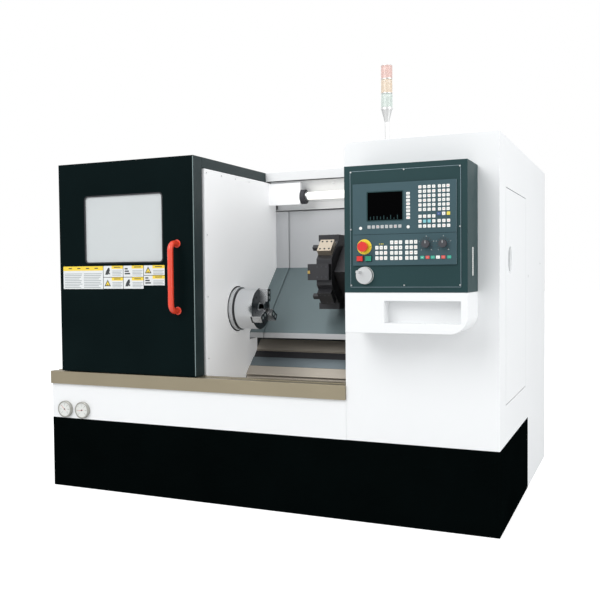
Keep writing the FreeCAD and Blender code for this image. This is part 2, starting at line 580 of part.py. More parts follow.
turret_back, turret_up = on_slope(D.turret_rise, D.turret_proud)
housing = slanted((D.housing_left, D.housing_right), (D.turret_rise - 95, D.turret_rise + 95),
                  (D.slide_top, D.turret_proud + 95))
shaft_bore = rod(D.housing_left - 1, turret_back, turret_up, D.turret_shaft + 0.1, 81)
keep("turret_housing", cut(housing, shaft_bore))

SIDES = 8
half_flat = D.turret_flats / 2
corner_reach = half_flat / math.cos(math.pi / SIDES)
octagon = []
for corner in range(SIDES):
    turn = math.pi / SIDES + corner * 2 * math.pi / SIDES
    octagon.append((corner_reach * math.cos(turn), corner_reach * math.sin(turn)))
disc = outline_body("turret_blank", "YZ_Plane", octagon, D.turret_thick,
                    (D.turret_left, turret_back, turret_up))
disc_right = D.turret_left + D.turret_thick
keep("turret_disc", fuse(disc, rod(disc_right, turret_back, turret_up, D.turret_shaft, 70)))


def station(number, along, width, inner, outer, left, right):
    """A block at one turret station: its width across, and from inner to outer radius."""
    thing = doc.addObject("Part::Feature", f"station_{number}")
    shape = Part.makeBox(right - left, width, outer - inner, FreeCAD.Vector(left, -width / 2, inner))
    thing.Shape = shape
    return place(thing, along, turret_back, turret_up, (1, 0, 0), number * 360 / SIDES)


# boring holders stand on the odd stations with a bar in front, turning holders on the even ones
BORING_LEFT, TURNING_LEFT, HOLDER_RIGHT, BAR_LEFT = 4, -34, 78, -30
seat = half_flat.value + D.holder_gap.value
reach = half_flat.value + D.holder_reach.value
holders = []
for station_number in range(SIDES):
    boring = station_number % 2 == 1
    left = BORING_LEFT if boring else TURNING_LEFT
    holders.append(station(station_number, D.turret_left, D.holder_width.value, seat, reach, left,
                           HOLDER_RIGHT))
    if boring:
        holders.append(station(station_number, D.turret_left, D.bar_width.value, seat + 4,
                               reach - 7, BAR_LEFT, BORING_LEFT - 0.2))
keep("tool_holders", group(*holders))

# ---------------------------------------------------------------- sliding door
door_sheet = shell((D.door_left, D.door_right), (0, D.door_depth), (D.door_low, D.door_high), "y+")
window_corners = [((x - MIDDLE_ALONG).value, None, z.value) for x in (D.window_left, D.window_right)
                  for z in (D.window_low, D.window_high)]
window_hole = rounded(span((D.window_left, D.window_right), (-1, D.skin + 1), (D.window_low, D.window_high)),
                      window_corners, D.window_round)
keep("door_panel", cut(door_sheet, window_hole))
keep("door_top_panel", shell((D.door_left, D.door_right), (D.door_depth, D.door_top_back),
                             (D.door_top_low, D.door_high), "z-"))
glass_corners = [((x - MIDDLE_ALONG).value, None, z.value)
                 for x in (D.window_left - D.window_lap, D.window_right + D.window_lap)
                 for z in (D.window_low - D.window_lap, D.window_high + D.window_lap)]
keep("door_window", rounded(
    span((D.window_left - D.window_lap, D.window_right + D.window_lap), (D.skin, D.skin + D.glass),
         (D.window_low - D.window_lap, D.window_high + D.window_lap)), glass_corners, D.window_round))


def bar_handle():
    """A bent round bar: two feet on the door's face and a straight grip."""
    out = D.handle_out.value
    low, high, bend = D.handle_low.value, D.handle_high.value, D.handle_bend.value
    corner = bend * (1 - math.sqrt(0.5))
    route = [Part.LineSegment(FreeCAD.Vector(0, 0, low), FreeCAD.Vector(0, bend - out, low)),
             Part.Arc(FreeCAD.Vector(0, bend - out, low), FreeCAD.Vector(0, corner - out, low + corner),
                      FreeCAD.Vector(0, -out, low + bend)),
             Part.LineSegment(FreeCAD.Vector(0, -out, low + bend), FreeCAD.Vector(0, -out, high - bend)),
             Part.Arc(FreeCAD.Vector(0, -out, high - bend), FreeCAD.Vector(0, corner - out, high - corner),
                      FreeCAD.Vector(0, bend - out, high)),
             Part.LineSegment(FreeCAD.Vector(0, bend - out, high), FreeCAD.Vector(0, 0, high))]
    path = Part.Wire([piece.toShape() for piece in route])
    section = Part.Wire([Part.makeCircle(D.handle_radius.value, FreeCAD.Vector(0, 0, low),
                                         FreeCAD.Vector(0, 1, 0))])
    thing = doc.addObject("Part::Feature", "bent_bar")
    thing.Shape = path.makePipeShell([section], True, False)
    return place(thing, D.handle_along, dim(0), dim(0))


keep("door_handle", bar_handle())

# ---------------------------------------------------------------- control desk
console_corner = ((D.desk_right - MIDDLE_ALONG).value, None, D.console_low.value)
console_block = rounded(span((D.desk_left, D.desk_right), (-D.desk_depth, 0), (D.console_low, D.desk_split)),
                        [console_corner], D.console_round)
pocket = span((D.pocket_left, D.pocket_right), (-D.desk_depth - 1, D.pocket_depth - D.desk_depth),
              (D.pocket_low, D.pocket_high))
back_hollow = span((D.desk_left + 20, D.desk_right - 80), (D.pocket_depth - D.desk_depth + 10, 1),
                   (D.console_low + 20, D.desk_split - 20))
keep("console", cut(console_block, pocket, back_hollow))
PLATE_FRONT = -D.desk_depth - D.thin
PANEL_FRONT = PLATE_FRONT - D.panel_thick
housing_shell = shell((D.desk_left, D.desk_right), (-D.desk_depth, 0), (D.desk_split, D.desk_high), "y+")


def stem_holes():
    """Holes for the stems of the buttons, knobs and handwheel on the desk's front."""
    stems = ((D.mushroom_along, D.mushroom_up, D.mushroom_stem), (D.feed_along, D.knob_up, D.shaft_radius),
             (D.speed_along, D.knob_up, D.shaft_radius), (D.stop_along, D.button_up, D.shaft_radius),
             (D.start_along, D.button_up, D.shaft_radius), (D.wheel_along, D.wheel_up, D.shaft_radius))
    return [rod(along, D.skin - D.desk_depth + 1, up, radius + D.shaft_play, 30, "front")
            for along, up, radius in stems]


keep("control_housing", cut(housing_shell, *stem_holes()))
keep("control_plate", cut(span((D.plate_left, D.plate_right), (PLATE_FRONT, -D.desk_depth),
                               (D.plate_low, D.plate_high)), *stem_holes()))
screen_recess = span((D.screen_left, D.screen_right), (PANEL_FRONT - 1, PANEL_FRONT + 2),
                     (D.screen_low, D.screen_high))
keep("display_unit", cut(span((D.display_left, D.display_right), (PANEL_FRONT, PLATE_FRONT),
                              (D.panel_split + 1, D.display_high)), screen_recess))
operator_plate = span((D.display_left, D.display_right), (PANEL_FRONT, PLATE_FRONT),
                      (D.operator_low, D.panel_split))
keep("operator_unit", cut(operator_plate, *stem_holes()))


def key_grid(left, top, columns, rows, pitch_along, pitch_up, key_width, key_height):
    """Separate flat keys in rows and columns, from the top left key's corner."""
    front = (PANEL_FRONT - D.key_proud - MIDDLE_BACK).value
    keys = []
    for column in range(columns):
        for line in range(rows):
            corner = FreeCAD.Vector(left - MIDDLE_ALONG.value + column * pitch_along, front,
                                    top - key_height - line * pitch_up)
            keys.append(Part.makeBox(key_width, D.key_proud.value, key_height, corner))
    return keys


KEY_GRIDS = [
    (2002, 1424, 4, 6, 17.4, 17.0, 13.5, 13.0), (2079, 1424, 3, 6, 16.0, 17.0, 13.0, 13.0),
    (2002, 1311, 4, 3, 17.4, 17.5, 13.5, 13.0), (2079, 1287, 3, 2, 16.0, 16.0, 13.0, 12.0),
    (1951, 1402, 1, 8, 17.0, 13.4, 16.0, 11.0), (1794, 1278, 8, 1, 17.9, 17.0, 14.0, 17.0),
    (1825, 1191, 3, 3, 18.0, 19.0, 15.0, 15.0), (1887, 1210, 3, 4, 18.0, 19.0, 15.0, 15.0),
    (1949, 1210, 3, 4, 18.0, 19.0, 15.0, 15.0), (2010, 1149, 3, 1, 18.0, 15.0, 14.0, 12.0),
    (2072, 1149, 3, 1, 18.0, 15.0, 14.0, 12.0)]
all_keys = []
for grid in KEY_GRIDS:
    all_keys += key_grid(*grid)
panel_keys = doc.addObject("Part::Feature", "keys")
panel_keys.Shape = Part.makeCompound(all_keys)
keep("panel_keys", panel_keys)

# push buttons, knobs and handwheel
MUSHROOM_FRONT = PANEL_FRONT - 30
keep("e_stop_button", fuse(
    rod(D.mushroom_along, MUSHROOM_FRONT + 18, D.mushroom_up, D.mushroom_radius, 18, "front"),
    rod(D.mushroom_along, PANEL_FRONT + 4, D.mushroom_up, D.mushroom_stem, 30, "front")))
for label, along in (("stop_button", D.stop_along), ("start_button", D.start_along)):
    cap = span((along - D.button_width / 2, along + D.button_width / 2),
               (PANEL_FRONT - D.button_proud, PANEL_FRONT - 3.4),
               (D.button_up - D.button_height / 2, D.button_up + D.button_height / 2))
    keep(label, fuse(cap, rod(along, PANEL_FRONT + 2, D.button_up, D.shaft_radius, 7, "front")))
for label, along in (("feed_knob", D.feed_along), ("speed_knob", D.speed_along)):
    knob = rod(along, PANEL_FRONT - 0.4, D.knob_up, D.knob_radius, D.knob_long, "front")
    shaft = rod(along, PANEL_FRONT + 4, D.knob_up, D.shaft_radius, 10, "front")
    keep(label, fuse(knob, shaft))
WHEEL_BACK = PLATE_FRONT - 1
WHEEL_FRONT = WHEEL_BACK - 16
keep("handwheel", fuse(
    rod(D.wheel_along, WHEEL_BACK, D.wheel_up, D.wheel_radius, 16, "front"),
    rod(D.wheel_along, 10 - D.desk_depth, D.wheel_up, D.shaft_radius, 20, "front"),
    rod(D.wheel_along - 18, WHEEL_FRONT + 1, D.wheel_up + 14, D.crank_radius,
        WHEEL_FRONT + 1 + D.front_reach, "front")))

# ---------------------------------------------------------------- beacon
POLE_TOP, CONE_TOP = 1736, D.lens_low
beacon = (D.beacon_along, D.beacon_back)
cone = doc.addObject("Part::Cone", "beacon_cone")
cone.Radius1, cone.Radius2 = 9, 24
bind(cone, "Height", CONE_TOP - POLE_TOP - 6)
place(cone, *beacon, dim(POLE_TOP))
keep("beacon_pole", fuse(rod(*beacon, D.machine_height, 24, 5, "up"),
                         rod(*beacon, D.machine_height, 9, POLE_TOP - D.machine_height, "up"), cone,
                         rod(*beacon, CONE_TOP - 6, D.lens_radius + 1, 6, "up")))
lens_height = (D.lens_high - D.lens_low) / 3
keep("beacon_lenses", group(*[rod(*beacon, D.lens_low + lens_height * tier, D.lens_radius, lens_height - 1, "up")
                              for tier in range(3)]))

# ---------------------------------------------------------------- side and rear doors
inset = D.door_gap
side_leaf = shell((D.machine_width - D.side_fold, D.machine_width),
                  (D.side_front + inset, D.side_back - inset), (D.side_low + inset, D.side_high - inset), "x-",
                  D.thin)
dish_back = rod(D.machine_width - 13, D.latch_back, D.latch_up, D.latch_dish + 3, 12)
dish = rod(D.machine_width - 10, D.latch_back, D.latch_up, D.latch_dish, 12)
pivot_hole = rod(D.machine_width - 20, D.latch_back, D.latch_up, D.shaft_radius + D.shaft_play, 12)
keep("side_door", cut(fuse(side_leaf, dish_back), dish, pivot_hole))
keep("side_door_latch", fuse(
    span((D.machine_width - 9, D.machine_width - 1),
         (D.latch_back - D.latch_width / 2, D.latch_back + D.latch_width / 2),
         (D.latch_up - D.latch_length / 2, D.latch_up + D.latch_length / 2)),
    rod(D.machine_width - 16, D.latch_back, D.latch_up, D.shaft_radius, 8)))
rear_leaf = shell((D.rear_left + inset, D.rear_right - inset), (D.machine_depth - D.side_fold, D.machine_depth),
                  (D.rear_low + inset, D.rear_high - inset), "y-", D.thin)
switch_hole = rod(D.switch_along, D.machine_depth + 1, D.switch_up, D.shaft_radius + D.shaft_play, 20, "front")
keep("rear_door", cut(rear_leaf, switch_hole))
keep("main_switch", fuse(
    rod(D.switch_along, D.machine_depth + 8, D.switch_up, D.switch_radius, 7, "front"),
    span((D.switch_along - 6, D.switch_along + 6), (D.machine_depth + 7, D.machine_depth + D.rear_reach),
         (D.switch_up - 24, D.switch_up + 24)),
    rod(D.switch_along, D.machine_depth + 2, D.switch_up, D.shaft_radius, 10, "front")))

# ---------------------------------------------------------------- check and write
doc.recompute()
for thing in doc.Objects:
    if "Invalid" in thing.State or "Error" in thing.State:
        raise RuntimeError(f"{thing.Name} ({thing.Label}) failed: {thing.State}")
os.makedirs("parts", exist_ok=True)
for label, thing in parts.items():
    shape = thing.Shape
    if shape.isNull() or not shape.isValid() or not shape.Solids:
        raise RuntimeError(f"{label} has no valid solid")
    shape.exportStep(os.path.join("parts", f"{label}.step"))
    print(label, len(shape.Solids), round(shape.Volume / 1e6, 3))
print(len(parts), "parts")
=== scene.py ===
"""Looks of an enclosed slant-bed turning lathe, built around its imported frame."""

import json
import logging
import math
from dataclasses import dataclass
from enum import Enum
from typing import Callable, Iterable, Sequence

import bmesh
import bpy
from mathutils import Euler, Matrix, Vector


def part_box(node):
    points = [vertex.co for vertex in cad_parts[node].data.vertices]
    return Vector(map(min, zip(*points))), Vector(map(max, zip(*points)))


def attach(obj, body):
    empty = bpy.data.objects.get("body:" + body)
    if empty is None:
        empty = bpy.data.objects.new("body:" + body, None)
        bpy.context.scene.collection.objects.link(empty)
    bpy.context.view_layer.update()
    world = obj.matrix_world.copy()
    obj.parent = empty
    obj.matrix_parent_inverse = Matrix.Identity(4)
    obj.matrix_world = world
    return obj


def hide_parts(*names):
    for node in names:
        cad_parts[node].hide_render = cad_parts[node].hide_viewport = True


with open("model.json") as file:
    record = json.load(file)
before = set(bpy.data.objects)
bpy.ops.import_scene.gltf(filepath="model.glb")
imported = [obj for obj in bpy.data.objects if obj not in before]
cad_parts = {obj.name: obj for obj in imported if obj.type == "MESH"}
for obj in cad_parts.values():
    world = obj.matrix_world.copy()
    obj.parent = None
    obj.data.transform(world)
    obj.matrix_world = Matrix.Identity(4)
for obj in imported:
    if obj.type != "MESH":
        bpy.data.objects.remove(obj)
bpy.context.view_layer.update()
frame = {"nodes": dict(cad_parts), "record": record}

LOG = logging.getLogger("turning_lathe")
MM = 0.001
CREASE = math.radians(38.0)
SAME_POINT = 1e-5
PLINTH_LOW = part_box("base_plinth")[0]
BODIES = frame["record"]["behaviour"]["bodies"]
BODY_OF = {node: body for body, nodes in BODIES.items() for node in nodes}
Colour = tuple[float, float, float]
Point = tuple[float, float, float]
Flat = tuple[float, float]


def lay(point: Vector) -> Point:
    """Millimetres along, back and up from the base's front left lower corner to a point in the frame."""
    return ((point.x - PLINTH_LOW.x) / MM, (point.y - PLINTH_LOW.y) / MM, point.z / MM)


def node_span(node: str) -> tuple[Point, Point]:
    """Low and high corner of a frame node in millimetres (along, back, up)."""
    low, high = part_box(node)
    return lay(low), lay(high)


def middle_of(node: str) -> Point:
    """Middle of a frame node's box in millimetres (along, back, up)."""
    low, high = node_span(node)
    return ((low[0] + high[0]) / 2, (low[1] + high[1]) / 2, (low[2] + high[2]) / 2)


def polar(reach: float, turn: float) -> Flat:
    """Flat point at a distance and an angle from the origin."""
    return (reach * math.cos(turn), reach * math.sin(turn))


def raised(place: Matrix, out: float) -> Matrix:
    """Placement moved out along its own Z."""
    return place @ Matrix.Translation((0, 0, out))


# ------------------------------------------------------------------ finishes
class Grain(Enum):
    """What the fine relief of a surface looks like: its stretch along X, Y and Z."""

    PEEL = (1.0, 1.0, 1.0)
    BRUSHED_ALONG = (0.015, 1.0, 1.0)
    BRUSHED_UP = (1.0, 1.0, 0.015)
    TURNED = (1.0, 0.06, 0.06)
    CAST = (0.9, 0.9, 0.9)


MOTTLE_SCALE = 3.1
GLOSS_SPREAD = 0.06
LEAST_ROUGHNESS = 0.02
RELIEF_HEIGHT = 0.0006


@dataclass(frozen=True)
class Finish:
    """One procedural finish: colour, gloss and fine relief."""

    name: str
    colour: Colour
    roughness: float = 0.4
    metallic: float = 0.0
    grain: Grain = Grain.PEEL
    grain_scale: float = 420.0
    grain_depth: float = 0.06
    mottle: float = 0.04
    coat: float = 0.0
    specular: float = 0.5
    alpha: float = 1.0
    glow: float = 0.0

    def material(self) -> bpy.types.Material:
        """Build the finish's node tree once and reuse it.

        Returns:
            The Blender material.
        """
        found = bpy.data.materials.get(self.name)
        if found:
            return found
        made = bpy.data.materials.new(self.name)
        made.use_nodes = True
        tree = made.node_tree
        shader = tree.nodes["Principled BSDF"]
        for socket, value in (("Metallic", self.metallic), ("Coat Weight", self.coat), ("Alpha", self.alpha),
                              ("Specular IOR Level", self.specular)):
            shader.inputs[socket].default_value = value
        if self.glow:
            shader.inputs["Emission Color"].default_value = (*self.colour, 1.0)
            shader.inputs["Emission Strength"].default_value = self.glow
        place = tree.nodes.new("ShaderNodeTexCoord")
        self.tone(tree, place, shader)
        self.relief(tree, place, shader)
        made.diffuse_color = (*self.colour, self.alpha)
        return made

    def tone(self, tree: bpy.types.NodeTree, place: bpy.types.Node, shader: bpy.types.Node) -> None:
        """Vary the colour and the gloss slowly over the surface.

        Args:
            tree: the material's node tree.
            place: its texture coordinate node.
            shader: its principled shader.
        """
        broad = tree.nodes.new("ShaderNodeTexNoise")
        broad.inputs["Scale"].default_value = MOTTLE_SCALE
        broad.inputs["Detail"].default_value = 5.0
        tree.links.new(place.outputs["Object"], broad.inputs["Vector"])
        mix = tree.nodes.new("ShaderNodeMix")
        mix.data_type = "RGBA"
        for socket, share in ((6, 1 - self.mottle), (7, 1 + self.mottle)):
            mix.inputs[socket].default_value = (*[min(1.0, c * share) for c in self.colour], 1.0)
        tree.links.new(broad.outputs["Fac"], mix.inputs[0])
        tree.links.new(mix.outputs[2], shader.inputs["Base Color"])
        gloss = tree.nodes.new("ShaderNodeMapRange")
        gloss.inputs["To Min"].default_value = max(LEAST_ROUGHNESS, self.roughness - GLOSS_SPREAD)
        gloss.inputs["To Max"].default_value = self.roughness + GLOSS_SPREAD
        tree.links.new(broad.outputs["Fac"], gloss.inputs["Value"])
        tree.links.new(gloss.outputs["Result"], shader.inputs["Roughness"])

    def relief(self, tree: bpy.types.NodeTree, place: bpy.types.Node, shader: bpy.types.Node) -> None:
        """Add the fine relief: orange peel, brushing, turning lines or cast skin.

        Args:
            tree: the material's node tree.
            place: its texture coordinate node.
            shader: its principled shader.
        """
        stretch = tree.nodes.new("ShaderNodeMapping")
        stretch.inputs["Scale"].default_value = self.grain.value
        tree.links.new(place.outputs["Object"], stretch.inputs["Vector"])
        fine = tree.nodes.new("ShaderNodeTexNoise")
        fine.inputs["Scale"].default_value = self.grain_scale
        fine.inputs["Detail"].default_value = 3.0
        tree.links.new(stretch.outputs["Vector"], fine.inputs["Vector"])
        bump = tree.nodes.new("ShaderNodeBump")
        bump.inputs["Strength"].default_value = self.grain_depth
        bump.inputs["Distance"].default_value = RELIEF_HEIGHT
        tree.links.new(fine.outputs["Fac"], bump.inputs["Height"])
        tree.links.new(bump.outputs["Normal"], shader.inputs["Normal"])


WHITE_PAINT = Finish("white_enamel", (0.85, 0.86, 0.865), 0.52, specular=0.2, mottle=0.012)
# Chamber white with a faint glow: painted light that brightens the chamber's side wall and the lamp bracket.
INNER_WHITE_PAINTED_GLOW = Finish("chamber_enamel_painted_glow", (0.88, 0.885, 0.89), 0.42, mottle=0.015, glow=0.26)
DOOR_PAINT = Finish("door_enamel", (0.003, 0.0075, 0.008), 0.3, mottle=0.3, specular=0.02, grain_depth=0.03)
# Painted highlight: light colour on the door's front-right corner faces and on a strip beside it.
DOOR_HIGHLIGHT = Finish("door_painted_highlight", (0.20, 0.26, 0.26), 0.4, specular=0.25)
# Painted light: the door's right-facing flange in a lighter copy of the door's black.
DOOR_SIDE_LIGHT = Finish("door_side_painted_light", (0.018, 0.034, 0.036), 0.4, specular=0.25)
PLINTH_PAINT = Finish("plinth_enamel", (0.0014, 0.0026, 0.0026), 0.5, grain_depth=0.12, mottle=0.4,
                      specular=0.0)
SILL_STEEL = Finish("sill_stainless", (0.37, 0.32, 0.225), 0.4, 0.85, Grain.BRUSHED_ALONG, 900, 0.12, 0.1)
COVER_GREY = Finish("cover_sheet_steel", (0.155, 0.205, 0.215), 0.45, 0.35, Grain.BRUSHED_ALONG, 700, 0.08,
                    0.12)
# Painted reflection: the blue-grey band on the chute.
CHUTE_PAINTED_REFLECTION = Finish("chute_painted_reflection", (0.19, 0.23, 0.25), 0.35, 0.6, Grain.BRUSHED_ALONG, 700, 0.08, 0.12)
CHAMBER_GREY = Finish("chamber_back_enamel", (0.56, 0.57, 0.585), 0.4, 0.1, mottle=0.03)
CHUTE_BEIGE = Finish("chute_sheet", (0.52, 0.47, 0.40), 0.4, 0.5, Grain.BRUSHED_ALONG, 700, 0.08, 0.08)
CAST_IRON = Finish("machined_casting", (0.19, 0.2, 0.2), 0.5, 0.75, Grain.CAST, 160, 0.35, 0.12)
GROUND_STEEL = Finish("ground_steel", (0.56, 0.57, 0.58), 0.24, 1.0, Grain.BRUSHED_ALONG, 900, 0.06, 0.05)
CHUCK_STEEL = Finish("chuck_steel", (0.38, 0.395, 0.41), 0.2, 1.0, Grain.TURNED, 800, 0.05, 0.06)
JAW_STEEL = Finish("jaw_steel", (0.66, 0.67, 0.68), 0.27, 1.0, Grain.BRUSHED_UP, 900, 0.08, 0.06)
BLUED_STEEL = Finish("blued_steel", (0.045, 0.052, 0.058), 0.3, 0.85, Grain.TURNED, 800, 0.08, 0.2)
BLACK_OXIDE = Finish("black_oxide", (0.0022, 0.0024, 0.0026), 0.5, 0.0, Grain.CAST, 500, 0.1, 0.3,
                     specular=0.012)
HOLDER_CREAM = Finish("holder_steel", (0.50, 0.43, 0.34), 0.33, 0.8, Grain.BRUSHED_UP, 700, 0.08, 0.08)
CARBIDE = Finish("coated_carbide", (0.55, 0.38, 0.12), 0.3, 1.0, Grain.CAST, 900, 0.05)
RUBBER = Finish("black_rubber", (0.012, 0.012, 0.013), 0.7, grain_depth=0.2)
DESK_PAINT = Finish("desk_enamel", (0.015, 0.046, 0.049), 0.45, mottle=0.12, specular=0.2, grain_depth=0.14)
PANEL_FILM = Finish("panel_film", (0.048, 0.093, 0.108), 0.4, mottle=0.08, specular=0.2, grain_scale=1500)
# Painted highlight: light colour on the control units' right bevels and on the plate's edges and rim.
PANEL_HIGHLIGHT = Finish("panel_painted_highlight", (0.25, 0.33, 0.37), 0.35, 0.4)
SCREEN_GLASS = Finish("screen_glass", (0.0008, 0.0008, 0.001), 0.3, grain_depth=0.0, mottle=0.3,
                      specular=0.01)
KEY_WHITE, KEY_GREY, KEY_CYAN, KEY_BLUE, KEY_YELLOW, KEY_RED, KEY_GREEN = (
    Finish(f"key_{name}", colour, 0.45, grain_depth=0.05) for name, colour in (
        ("white", (0.66, 0.665, 0.65)), ("grey", (0.46, 0.48, 0.48)), ("cyan", (0.22, 0.55, 0.60)),
        ("blue", (0.05, 0.10, 0.26)), ("yellow", (0.85, 0.70, 0.08)), ("red", (0.72, 0.10, 0.08)),
        ("green", (0.05, 0.42, 0.30))))
INK = Finish("legend_ink", (0.03, 0.035, 0.04), 0.5, grain_depth=0.0)
PALE_INK = Finish("pale_ink", (0.75, 0.78, 0.78), 0.5, grain_depth=0.0)
RED_GLOSS = Finish("red_moulding", (0.80, 0.065, 0.03), 0.24, coat=0.3, mottle=0.03)
STOP_RED = Finish("stop_red", (0.68, 0.02, 0.015), 0.28, coat=0.3)
STOP_YELLOW = Finish("stop_yellow", (0.86, 0.66, 0.03), 0.35, coat=0.1)
START_GREEN = Finish("start_green", (0.01, 0.26, 0.16), 0.3, coat=0.3)
KNOB_BLACK = Finish("knob_black", (0.008, 0.009, 0.010), 0.42, specular=0.12, grain_depth=0.12)
SATIN_METAL = Finish("satin_aluminium", (0.72, 0.73, 0.73), 0.32, 1.0, Grain.TURNED, 800, 0.06)
ZINC_SCREW = Finish("zinc_screw", (0.68, 0.69, 0.69), 0.3, 1.0, Grain.CAST, 900, 0.05)
GAUGE_RIM = Finish("gauge_rim", (0.44, 0.435, 0.40), 0.35, 0.9, Grain.TURNED, 700, 0.06, 0.1)
GAUGE_FACE = Finish("gauge_face", (0.72, 0.73, 0.70), 0.4, grain_depth=0.0)
DIAL_FACE = Finish("dial_face", (0.80, 0.80, 0.77), 0.5, grain_depth=0.02)
# Pale, mostly opaque pane: its pale colour is painted reflection over glass that shows the parts behind it in
# part.
WINDOW_PANE_PAINTED_REFLECTION = Finish("window_pane_painted_reflection", (0.70, 0.735, 0.74), 0.08, grain_depth=0.0, mottle=0.03, coat=0.3,
                     alpha=0.72)
LAMP_GLOW = Finish("lamp_tube", (1.0, 0.97, 0.92), 0.3, glow=1.0, grain_depth=0.0)
LENSES = tuple(
    Finish(f"lens_{name}", colour, 0.12, coat=0.4, alpha=0.5, grain_depth=0.0) for name, colour in (
        ("green", (0.82, 0.90, 0.85)), ("amber", (0.96, 0.82, 0.66)), ("red", (0.96, 0.70, 0.64))))
POLE_METAL = Finish("pole_metal", (0.82, 0.82, 0.81), 0.28, 0.7, Grain.BRUSHED_UP, 800, 0.05)
MOTOR_GREY = Finish("motor_enamel", (0.10, 0.115, 0.125), 0.45, grain_depth=0.2)
LABEL_WHITE, LABEL_YELLOW, LABEL_GREY = (
    Finish(f"label_{name}", colour, 0.45, grain_depth=0.02) for name, colour in (
        ("white", (0.72, 0.74, 0.74)), ("yellow", (0.86, 0.62, 0.05)), ("grey", (0.33, 0.36, 0.37))))
FLOOR_PALE = Finish("pale_floor", (0.66, 0.66, 0.66), 0.8, grain_scale=60, mottle=0.01, specular=0.0,
                    glow=0.95)


# ------------------------------------------------------------------ shapes
class Facing(Enum):
    """Which way a surface looks: its right-hand and its upward direction, seen from outside."""

    FRONT = ((1, 0, 0), (0, 0, 1))
    RIGHT = ((0, 1, 0), (0, 0, 1))
    BACK = ((-1, 0, 0), (0, 0, 1))
    LEFT = ((0, -1, 0), (0, 0, 1))
    TOP = ((1, 0, 0), (0, 1, 0))

    def at(self, along: float, back: float, up: float) -> Matrix:
        """Placement, in millimetres, whose X runs right, Y up and Z out of the surface.

        Args:
            along: where it sits to the right of the base's left end.
            back: where it sits behind the front skin.
            up: its height over the floor.

        Returns:
            The placement matrix.
        """
        right, rise = (Vector(direction) for direction in self.value)
        turn = Matrix((right, rise, right.cross(rise))).transposed()
        return Matrix.Translation((along, back, up)) @ turn.to_4x4()


HANG = Matrix.Rotation(math.pi, 4, "X")


def rounded_rectangle(width: float, height: float, radius: float, steps: int = 6) -> list[Flat]:
    """Outline of a rectangle about the origin whose corners are arcs.

    Args:
        width: size along X.
        height: size along Y.
        radius: corner radius.
        steps: how many edges each corner arc has.

    Returns:
        Its points, counter-clockwise.
    """
    outline = []
    for corner, (side, rise) in enumerate(((1, 1), (-1, 1), (-1, -1), (1, -1))):
        centre = Vector((side * (width / 2 - radius), rise * (height / 2 - radius)))
        for step in range(steps + 1):
            angle = math.radians(90 * (corner + step / steps))
            outline.append((centre.x + radius * math.cos(angle), centre.y + radius * math.sin(angle)))
    return outline


def oblong(left: float, base: float, right: float, top: float) -> list[Flat]:
    """Outline of a rectangle with sharp corners, counter-clockwise."""
    return [(left, base), (right, base), (right, top), (left, top)]


def circle(radius: float, steps: int = 40, centre: Flat = (0.0, 0.0)) -> list[Flat]:
    """Outline of a circle, counter-clockwise."""
    points = (polar(radius, math.tau * step / steps) for step in range(steps))
    return [(centre[0] + x, centre[1] + y) for x, y in points]


BEVEL_STEPS = 2
THINNEST_SHARE = 0.45
FIGURE_RISE = 0.15
FIGURE_STEPS = 3


def soften(part: bmesh.types.BMesh, edges: list[bmesh.types.BMEdge], width: float) -> None:
    """Round some edges of a part."""
    bmesh.ops.bevel(part, geom=edges, offset=width, segments=BEVEL_STEPS, profile=0.5, affect="EDGES")


def evaluated(made: bpy.types.Object) -> bpy.types.Mesh:
    """A new mesh of an object as its modifiers leave it."""
    bpy.context.view_layer.update()
    return bpy.data.meshes.new_from_object(made.evaluated_get(bpy.context.evaluated_depsgraph_get()))


